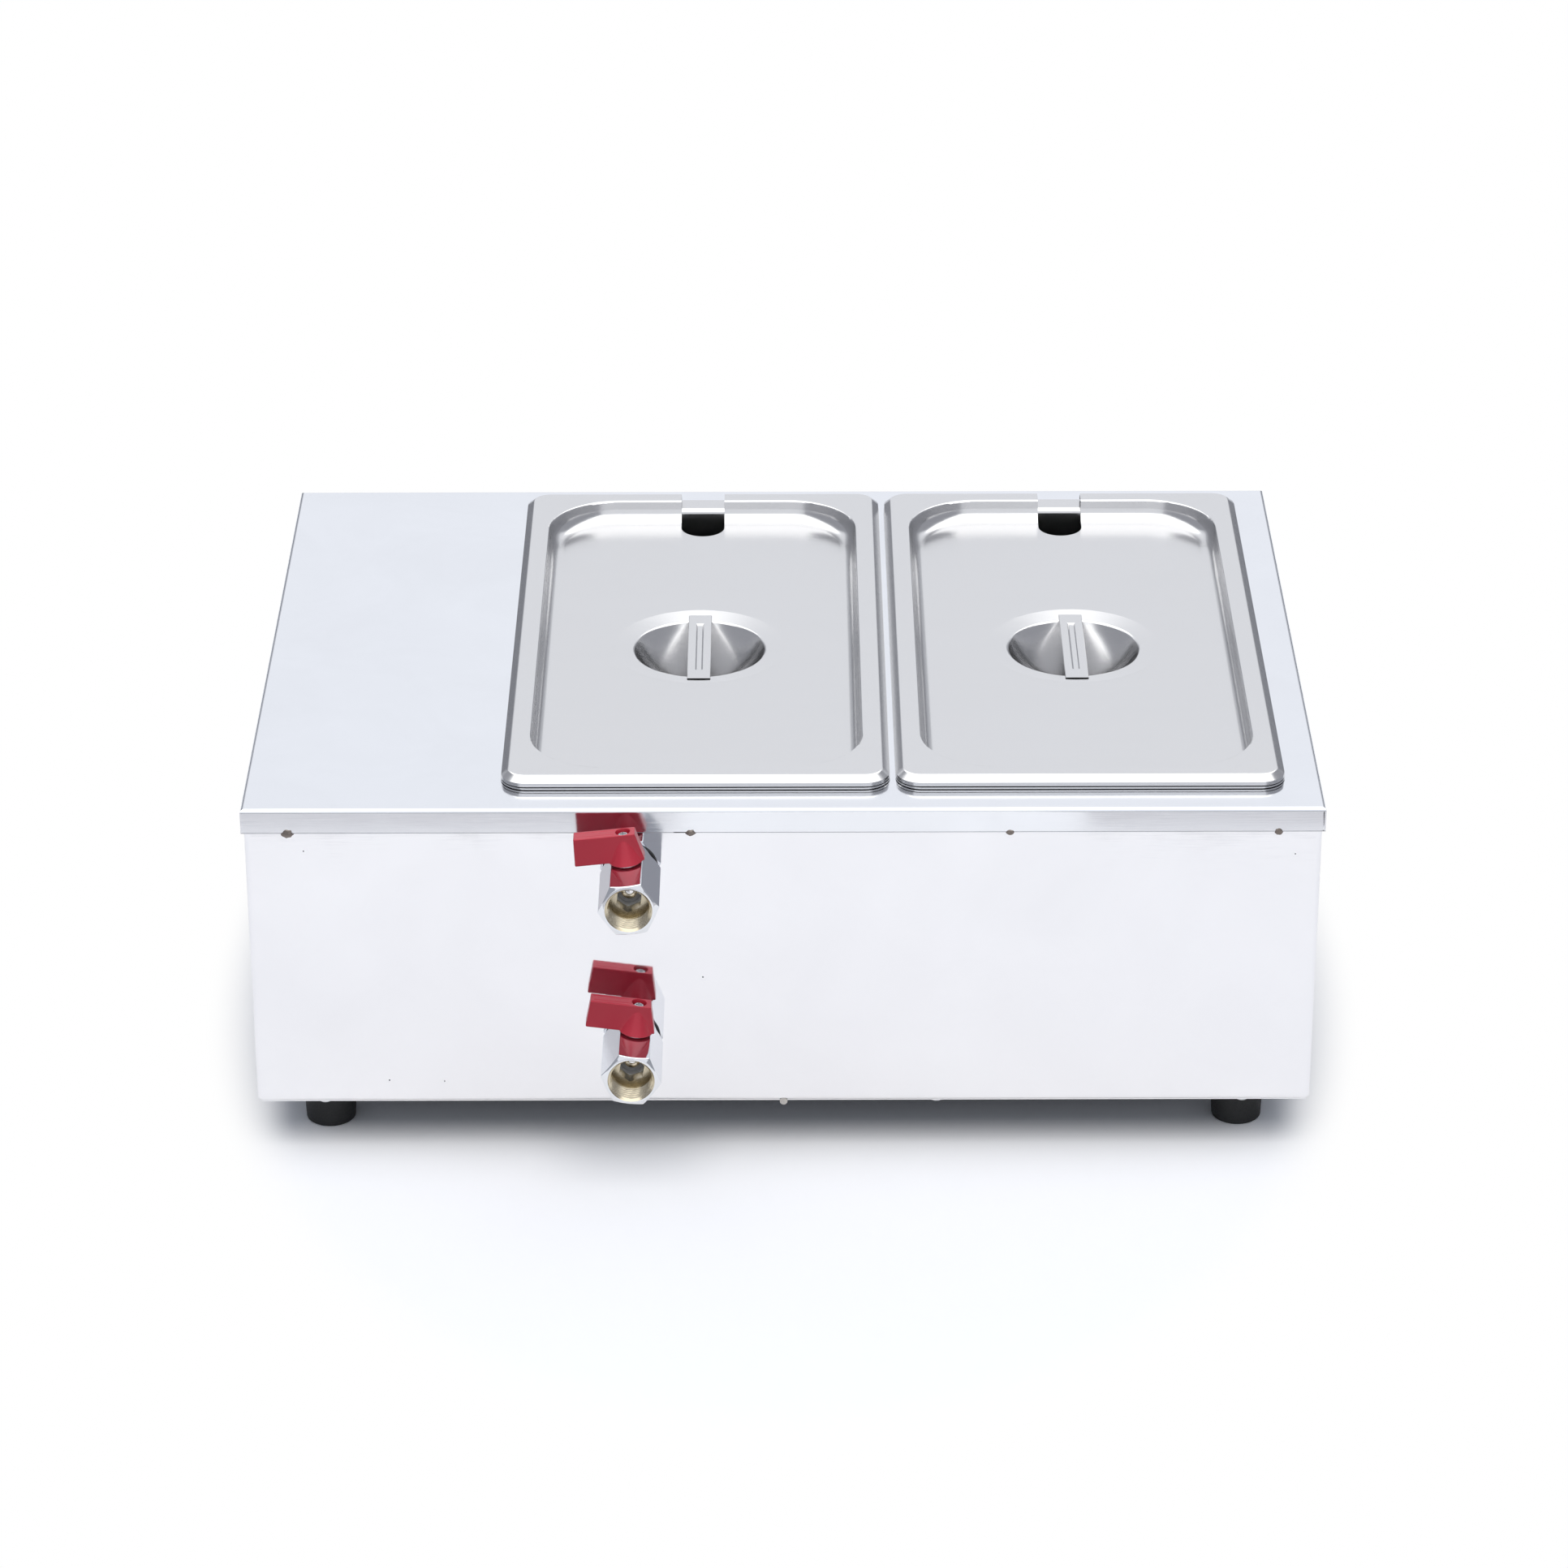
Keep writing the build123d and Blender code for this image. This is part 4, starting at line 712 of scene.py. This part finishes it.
    def stem_cutter(self) -> bpy.types.Mesh:
        """What is drilled out of the body for the stem and its packing."""
        flat, core = self.flats / 2, self.cutter_core
        low, step, high = self.stem_bore_low, flat - self.packing_depth, flat + self.cutter_past
        bore, wide = self.stem_bore, self.packing_bore
        corners = [(core, low), (bore, low), (bore, step), (wide, step), (wide, high), (core, high)]
        return self.turned("stem_cutter", corners)

    def boss_mesh(self) -> bpy.types.Mesh:
        """The turned collar round the stem, with a rounded shoulder."""
        low, top = self.flats / 2 - self.boss_sunk, self.flats / 2 + self.boss_height
        outer, inner, rounding = self.boss_radius, self.packing_bore, self.boss_rounding
        shoulder = [
            (outer - rounding + rounding * math.sin(turn), top - rounding + rounding * math.cos(turn))
            for turn in (math.radians(15 * step) for step in range(6, -1, -1))
        ]
        corners = [(inner, low), (outer, low), *shoulder, (inner, top)]
        return self.turned(f"{self.side.value}_valve_collar", corners)

    def pressed(self, x: float, y: float) -> float:
        """How far the lever's top is pressed in at one place, for the line and the field inside it.

        Args:
            x: the place along the lever.
            y: the place across it.

        Returns:
            The depth.
        """
        half = self.lever_half - self.line_side_inset
        left, right = self.line_inset - self.lever_left, -self.pocket_radius - self.line_pocket_gap
        across = abs(abs(y) - half) if left < x < right else math.inf
        along = abs(x - left) if abs(y) < half else math.inf
        line = self.line_depth * math.exp(-((min(across, along) / self.line_width) ** 2))
        inside = left < x < right + self.sunk_past and abs(y) < half
        return line + (self.sunk_depth if inside else 0.0)

    def lever_mesh(self) -> bpy.types.Mesh:
        """The lever as it comes from the mould: hub and plate run softly into each other, a fine line on top.

        Returns:
            The mesh in millimetres about the stem.
        """
        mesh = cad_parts[f"{self.side.value}_lever"].data.copy()
        mesh.name = f"{self.side.value}_moulded_lever"
        mesh.transform(self.place().inverted())
        mesh = applied(mesh, "REMESH", mode="VOXEL", voxel_size=self.voxel)
        mesh = applied(mesh, "SMOOTH", factor=0.5, iterations=6)
        for vertex in mesh.vertices:
            x, y, z = vertex.co
            if z >= self.lever_top - self.top_skin:
                vertex.co.z = z - self.pressed(x, y)
        return mesh

    def build(
        self, plated: bpy.types.Material, brass: bpy.types.Material, red: bpy.types.Material
    ) -> None:
        """Make the body, its collar and the lever.

        Args:
            plated: the chrome plating.
            brass: the bare metal inside the outlet.
            red: the lever's plastic.
        """
        node = f"{self.side.value}_valve_body"
        for mesh, finishes in ((self.body_mesh(), (plated, brass)), (self.boss_mesh(), (plated,))):
            mesh.transform(self.place())
            add_piece(mesh, "melter", finishes, (node,))
        lever = self.lever_mesh()
        lever.transform(self.place())
        add_piece(lever, f"{self.side.value}_valve", (red,), (f"{self.side.value}_lever",))


@dataclass
class FingerStrap:
    """Strap across a lid's bowl, in millimetres, with soft edges and a pressed groove whose flanks slope."""

    side: str
    x: float
    y: float = 10.45
    seat: float = 170.3
    sheet: float = 1.0
    half_width: float = 5.5
    half_top: float = 35.5
    half_seat: float = 32.4
    edge_rounding: float = 0.22
    columns: int = 44
    groove_half: float = 1.9
    groove_depth: float = 0.62
    groove_end: float = 26.0
    flank: float = 0.9
    flank_rows: int = 6
    beside_flank: tuple[float, ...] = (0.15, 0.6)
    middle_row: float = 12.0

    def pressed(self, x: float, y: float) -> float:
        """How far the groove is pressed down at a place on the strap."""
        across = min(max((self.groove_half - abs(x)) / self.flank, 0.0), 1.0)
        along = min(max((self.groove_end - abs(y)) / self.flank, 0.0), 1.0)
        share = min(across, along)
        return self.groove_depth * share * share * (3 - 2 * share)

    def section(self, y: float) -> Ring:
        """The strap's outline across its length at one place."""
        half, top, rounding = self.half_width, self.seat + self.sheet, self.edge_rounding
        low = y * self.half_seat / self.half_top
        flat = half - rounding
        across = [flat * (2 * step / self.columns - 1) for step in range(self.columns + 1)]
        ring = [(self.x + x, self.y + y, top - self.pressed(x, y)) for x in across]
        ring = [(self.x - half, self.y + y, top - rounding), *ring, (self.x + half, self.y + y, top - rounding)]
        ring += [(self.x + half, self.y + low, self.seat), (self.x - half, self.y + low, self.seat)]
        return ring

    def build(self, satin: bpy.types.Material) -> None:
        """Make the strap.

        Args:
            satin: the drawn steel.
        """
        start, end = self.groove_end, self.groove_end - self.flank
        ends = [start - self.flank * row / self.flank_rows for row in range(self.flank_rows + 1)]
        ends += [start + step for step in self.beside_flank] + [end - step for step in self.beside_flank]
        half = {0.0, self.middle_row, self.half_top, *ends}
        places = sorted({*half, *(-place for place in half)})
        mesh = join_rings(f"{self.side}_strap_pressing", [self.section(y) for y in places])
        mesh.transform(TO_METRES)
        add_piece(mesh, f"{self.side}_lid_body", (satin,), (f"{self.side}_lid_strap",))


@dataclass
class FrontMarks:
    """Weld beads at the skirt's lower edge, its sheared edge with a painted dark line, a dark bar of painted
    shadow in a slit of that edge, and small specks on the front, in millimetres.
    """

    skirt_front: float = -171.35
    skirt_bottom: float = 164.0
    half_width: float = 243.1
    front_face: float = -169.35

    # Where each bead sits along the skirt, and its half width and half height
    beads: tuple[Point, ...] = (
        (-222.2, 2.7, 2.1),
        (-41.5, 2.3, 1.6),
        (101.8, 1.9, 1.3),
        (222.2, 1.9, 1.7),
    )
    bead_sunk: float = 0.35
    bead_drop: float = 0.1
    bead_depth: float = 0.95
    bead_rough: float = 0.22

    # Where each speck sits across the front and up it, and its half size
    specks: tuple[Point, ...] = (
        (230.2, 151.7, 0.3),
        (-180.8, 36.0, 0.35),
        (-155.5, 35.5, 0.3),
        (-215.5, 154.1, 0.3),
        (-36.6, 89.4, 0.35),
    )
    speck_depth: float = 0.06
    speck_rough: float = 0.3

    # How finely a lump is drawn, and the noise that makes it uneven
    lump_rows: int = 20
    lump_columns: int = 36
    lump_pole: float = 0.02
    lump_scale: float = 1.6
    lump_shift: float = 0.37
    lump_noise: tuple[float, float, int] = (0.7, 2.0, 3)

    # The sheared edge with its painted dark line, and the dark bar of painted shadow in the gap: how far they
    # stand out, reach in, hang below and rise
    edge_box: tuple[float, float, float, float] = (0.03, 0.8, 0.0, 0.32)
    gap_box: tuple[float, float, float, float] = (0.06, 0.5, 0.02, 0.4)
    gap_shadow_span: Span = (-49.0, -43.2)

    def blob(self, name: str, place: Point, size: Point, rough: float) -> bpy.types.Mesh:
        """A lump with an uneven skin.

        Args:
            name: the mesh's name.
            place: its middle.
            size: its half sizes.
            rough: how uneven it is, as a share of its size.

        Returns:
            The mesh in metres.
        """
        shift = Vector(place) * self.lump_shift
        rings = []
        for row in range(self.lump_rows + 1):
            tilt = math.pi * (row + self.lump_pole) / (self.lump_rows + 2 * self.lump_pole)
            ring = []
            for column in range(self.lump_columns):
                turn = math.tau * column / self.lump_columns
                flat = math.sin(tilt)
                way = Vector((flat * math.cos(turn), math.cos(tilt), flat * math.sin(turn)))
                swell = 1 + rough * noise.fractal(way * self.lump_scale + shift, *self.lump_noise)
                ring.append(tuple(place[i] + size[i] * way[i] * swell for i in range(3)))
            rings.append(ring)
        mesh = join_rings(name, rings)
        mesh.transform(TO_METRES)
        return mesh

    def strip(self, name: str, span: Span, box: tuple[float, float, float, float]) -> bpy.types.Mesh:
        """A plain bar along the skirt's lower edge.

        Args:
            name: the mesh's name.
            span: where it starts and ends along the skirt.
            box: how far it stands out, reaches in, hangs below and rises, from the skirt's lower edge.

        Returns:
            The mesh in metres.
        """
        out, inward, down, rise = box
        near, far = self.skirt_front - out, self.skirt_front + inward
        low, high = self.skirt_bottom - down, self.skirt_bottom + rise
        corners = [(span[0], near), (span[1], near), (span[1], far), (span[0], far)]
        mesh = join_rings(name, [[(x, y, z) for x, y in corners] for z in (low, high)])
        mesh.transform(TO_METRES)
        return mesh

    def build(
        self, bead: bpy.types.Material, edge: bpy.types.Material, dark: bpy.types.Material
    ) -> None:
        """Make the beads, the edge with its painted dark line, the painted shadow in the gap, and the specks.

        Args:
            bead: the weld metal.
            edge: the sheared edge's metal, whose darker grey is partly painted shade.
            dark: the painted shadow in the gap, and the specks.
        """
        front, bottom = self.skirt_front + self.bead_sunk, self.skirt_bottom - self.bead_drop
        for number, (x, wide, tall) in enumerate(self.beads, 1):
            size = (wide, self.bead_depth, tall)
            mesh = self.blob(f"skirt_bead_{number}", (x, front, bottom), size, self.bead_rough)
            add_piece(mesh, "melter", (bead,))
        for number, (x, z, half) in enumerate(self.specks, 1):
            size = (half, self.speck_depth, half)
            mesh = self.blob(f"speck_{number}", (x, self.front_face, z), size, self.speck_rough)
            add_piece(mesh, "melter", (dark,))
        # The sheared edge as a darker strip: partly its real duller metal, partly a painted dark line of
        # reflected shade
        sheared = self.strip("skirt_edge_painted_shade", (-self.half_width, self.half_width), self.edge_box)
        add_piece(sheared, "melter", (edge,))
        # Painted shadow: a dark bar where the skirt's lower edge has a slit
        gap = self.strip("skirt_gap_painted_shadow", self.gap_shadow_span, self.gap_box)
        add_piece(gap, "melter", (dark,))


@dataclass
class Studio:
    """Pale floor, white surroundings, a soft lamp and the camera at the photograph's angle."""

    # Camera, in metres and degrees
    lens_mm: float = 125.645
    sensor_mm: float = 36.0
    camera_place: Point = (-0.00136, -2.35727, 1.27543)
    pitch: float = 26.4426
    yaw: float = 0.047
    roll: float = -0.107

    # Floor colours to the camera, in mirrors and to everything else, and where it turns white
    floor_size: float = 40.0
    floor_seen: Point = (1.1, 1.1, 1.1)
    floor_mirrored: Point = (1.1, 1.085, 1.05)
    floor_dull: Point = (0.14, 0.142, 0.145)
    white_reach: Point = (0.272, 0.42, 1.0)
    white_span: Span = (0.9, 1.03)

    # Surroundings: their colours, and how bright they are where only dull surfaces meet them
    fill_colour: str = "#EAF1FF"
    glossy_colour: str = "#F6F8FD"
    white: str = "#FFFFFF"
    world_level: float = 0.62

    # Cards at the sides, and those behind the object, in two bands of height
    side_x: float = 1.3
    side_span: Span = (-2.2, 1.2)
    side_height: float = 1.5
    side_shade: str = "#A3A5AC"
    rear_near: Spot = (0.88, 3.0)
    rear_far: Spot = (4.0, 1.6)
    rear_bands: tuple[tuple[str, float, float, str], ...] = (
        ("low", 0.0, 0.72, "#85878E"),
        ("high", 0.72, 1.4, "#BDBFC5"),
    )

    # Card above, and the grey ones on the floor before the skirt, apart where the valves mirror
    above_x: Span = (-1.7, 1.7)
    above_y: Span = (-2.6, 2.2)
    above_z: float = 2.1
    above_strength: float = 2.0
    ground_level: float = 0.0015
    ground_spans: tuple[tuple[str, Span], ...] = (("left", (-1.8, -0.0575)), ("right", (0.157, 1.8)))
    ground_bands: tuple[tuple[str, Span, str], ...] = (
        ("near", (-0.75, -0.4925), "#D7D6DA"),
        ("far", (-2.2, -0.75), "#9FA1A8"),
    )

    # The one lamp
    key_watts: float = 30.0
    key_colour: Point = (1.0, 0.97, 0.94)
    key_size: tuple[float, float] = (2.6, 1.8)
    key_place: Point = (0.0, -1.2, 2.2)
    key_tilt: float = 26.0

    def build(self) -> None:
        """Make the camera, the world, the floor, the cards and the lamp."""
        self.camera()
        self.world()
        self.floor()
        self.cards()
        self.lamp()
        bpy.context.scene.view_settings.view_transform = "Standard"
        LOG.info("studio set")

    def camera(self) -> None:
        """Place the camera where the photograph was taken from."""
        data = bpy.data.cameras.new("camera")
        data.lens = self.lens_mm
        data.sensor_width = self.sensor_mm
        data.sensor_fit = "HORIZONTAL"
        camera = put_in_scene("camera", data)
        pitch, yaw, roll = (math.radians(angle) for angle in (self.pitch, self.yaw, self.roll))
        level = math.cos(pitch)
        forward = Vector((math.sin(yaw) * level, math.cos(yaw) * level, -math.sin(pitch)))
        right = forward.cross(Vector((0, 0, 1))).normalized()
        up = right.cross(forward)
        turned_right = right * math.cos(roll) + up * math.sin(roll)
        turned_up = up * math.cos(roll) - right * math.sin(roll)
        turn = Matrix((turned_right, turned_up, -forward)).transposed()
        camera.matrix_world = Matrix.Translation(self.camera_place) @ turn.to_4x4()
        bpy.context.scene.camera = camera

    def world(self) -> None:
        """White to the eye and in reflections, and a plain cool level on everything else."""
        world = bpy.data.worlds.new("surroundings")
        bpy.context.scene.world = world
        tree = empty_tree(world)
        path = add_node(tree, "ShaderNodeLightPath").outputs
        inputs = {0: path["Is Camera Ray"], 1: path["Is Transmission Ray"]}
        seen = output_of(tree, "ShaderNodeMath", inputs, operation="MAXIMUM")
        fill, glossy, white = (
            output_of(tree, "ShaderNodeBackground", {"Color": linear(colour), "Strength": strength})
            for colour, strength in (
                (self.fill_colour, self.world_level),
                (self.glossy_colour, 1.0),
                (self.white, 1.0),
            )
        )
        unseen = mixed_shader(tree, path["Is Glossy Ray"], fill, glossy)
        surface = mixed_shader(tree, seen, unseen, white)
        add_node(tree, "ShaderNodeOutputWorld", {"Surface": surface})

    def sheet(self, name: str, corners: Sequence[Point]) -> bpy.types.Object:
        """Put one flat face in the scene.

        Args:
            name: its name.
            corners: its four corners.

        Returns:
            The object, with no material yet.
        """
        mesh = bpy.data.meshes.new(name)
        mesh.from_pydata(list(corners), [], [(0, 1, 2, 3)])
        return put_in_scene(name, mesh)

    def level_corners(self, across: Span, along: Span, z: float) -> list[Point]:
        """The corners of a level rectangle."""
        (left, right), (near, far) = across, along
        return [(left, near, z), (right, near, z), (right, far, z), (left, far, z)]

    def upright_corners(self, start: Spot, end: Spot, low: float, high: float) -> list[Point]:
        """The corners of an upright rectangle between two places on the floor."""
        return [(*start, low), (*end, low), (*end, high), (*start, high)]

    def floor(self) -> None:
        """A wide pale floor that takes the object's shadow and is pure white farther off."""
        half = self.floor_size / 2
        piece = self.sheet("floor", self.level_corners((-half, half), (-half, half), 0.0))
        material = bpy.data.materials.new("white_paper_floor")
        tree = empty_tree(material)
        path = add_node(tree, "ShaderNodeLightPath").outputs
        dull, mirrored, pale = (
            output_of(tree, "ShaderNodeBsdfDiffuse", {"Color": (*colour, 1.0)})
            for colour in (self.floor_dull, self.floor_mirrored, self.floor_seen)
        )
        inputs = {0: path["Diffuse Depth"], 1: 0.5}
        direct = output_of(tree, "ShaderNodeMath", inputs, operation="LESS_THAN")
        inputs = {0: path["Is Glossy Ray"], 1: direct}
        mirror = output_of(tree, "ShaderNodeMath", inputs, operation="MULTIPLY")
        unseen = mixed_shader(tree, mirror, dull, mirrored)
        place = add_node(tree, "ShaderNodeTexCoord").outputs["Object"]
        oval = output_of(tree, "ShaderNodeVectorMath", {0: place, 1: self.white_reach}, operation="DIVIDE")
        away = add_node(tree, "ShaderNodeVectorMath", {0: oval}, operation="LENGTH").outputs["Value"]
        share = ranged(tree, away, self.white_span, (0.0, 1.0), interpolation_type="SMOOTHSTEP")
        white = output_of(tree, "ShaderNodeEmission", {"Color": linear(self.white), "Strength": 1.0})
        seen = mixed_shader(tree, share, pale, white)
        surface = mixed_shader(tree, path["Is Camera Ray"], unseen, seen)
        add_node(tree, "ShaderNodeOutputMaterial", {"Surface": surface})
        piece.data.materials.append(material)

    def card(self, name: str, corners: Sequence[Point], shade: str, strength: float = 1.0) -> None:
        """Stand a plain card that only reflections show.

        Args:
            name: the card's name.
            corners: its four corners.
            shade: its colour.
            strength: how bright it is, where one is white.
        """
        piece = self.sheet(name, corners)
        material = bpy.data.materials.new(name)
        tree = empty_tree(material)
        glow = output_of(tree, "ShaderNodeEmission", {"Color": linear(shade), "Strength": strength})
        add_node(tree, "ShaderNodeOutputMaterial", {"Surface": glow})
        piece.data.materials.append(material)
        piece.visible_camera = False
        piece.visible_diffuse = False
        piece.visible_shadow = False
        piece.visible_transmission = False

    def cards(self) -> None:
        """Stand the cards that the metal mirrors: dark at the sides, bright above, grey before the skirt."""
        for name, side in (("left", -1), ("right", 1)):
            start, end = ((side * self.side_x, y) for y in self.side_span)
            corners = self.upright_corners(start, end, 0.0, self.side_height)
            self.card(f"card_{name}", corners, self.side_shade)
            start, end = ((side * x, y) for x, y in (self.rear_near, self.rear_far))
            for part, low, high, shade in self.rear_bands:
                corners = self.upright_corners(start, end, low, high)
                self.card(f"card_rear_{part}_{name}", corners, shade)
        corners = self.level_corners(self.above_x, self.above_y, self.above_z)
        self.card("card_above", corners, self.white, self.above_strength)
        for name, across in self.ground_spans:
            for part, along, shade in self.ground_bands:
                corners = self.level_corners(across, along, self.ground_level)
                self.card(f"card_{part}_{name}", corners, shade)

    def lamp(self) -> None:
        """One broad soft lamp high before the object, so that its shadow stays under it."""
        data = bpy.data.lights.new("key", "AREA")
        data.shape = "RECTANGLE"
        data.size, data.size_y = self.key_size
        data.energy = self.key_watts
        data.color = self.key_colour
        lamp = put_in_scene("key", data)
        lamp.location = self.key_place
        lamp.rotation_euler = (math.radians(self.key_tilt), 0, 0)
        lamp.visible_glossy = False


def main() -> None:
    """Build the scene in order and report each piece."""
    logging.basicConfig(level=logging.INFO, format="%(message)s")
    Studio().build()
    made = dress_frame()
    upper = DrainValve(Side.UPPER, level=145.0, lean=-6.0)
    lower = DrainValve(Side.LOWER, level=58.4, lean=7.5)
    for valve in (upper, lower):
        valve.build(made[PLATED], made[BARE_BRASS], made[RED])
    for strap in (FingerStrap("left", x=-39.6), FingerStrap("right", x=138.9)):
        strap.build(made[DRAWN])
    FrontMarks().build(BURNT_WELD.build(), SHEARED_EDGE_AND_SHADE.build(), PAINTED_SHADOW_AND_SPECKS.build())


if __name__ == "__main__":
    main()
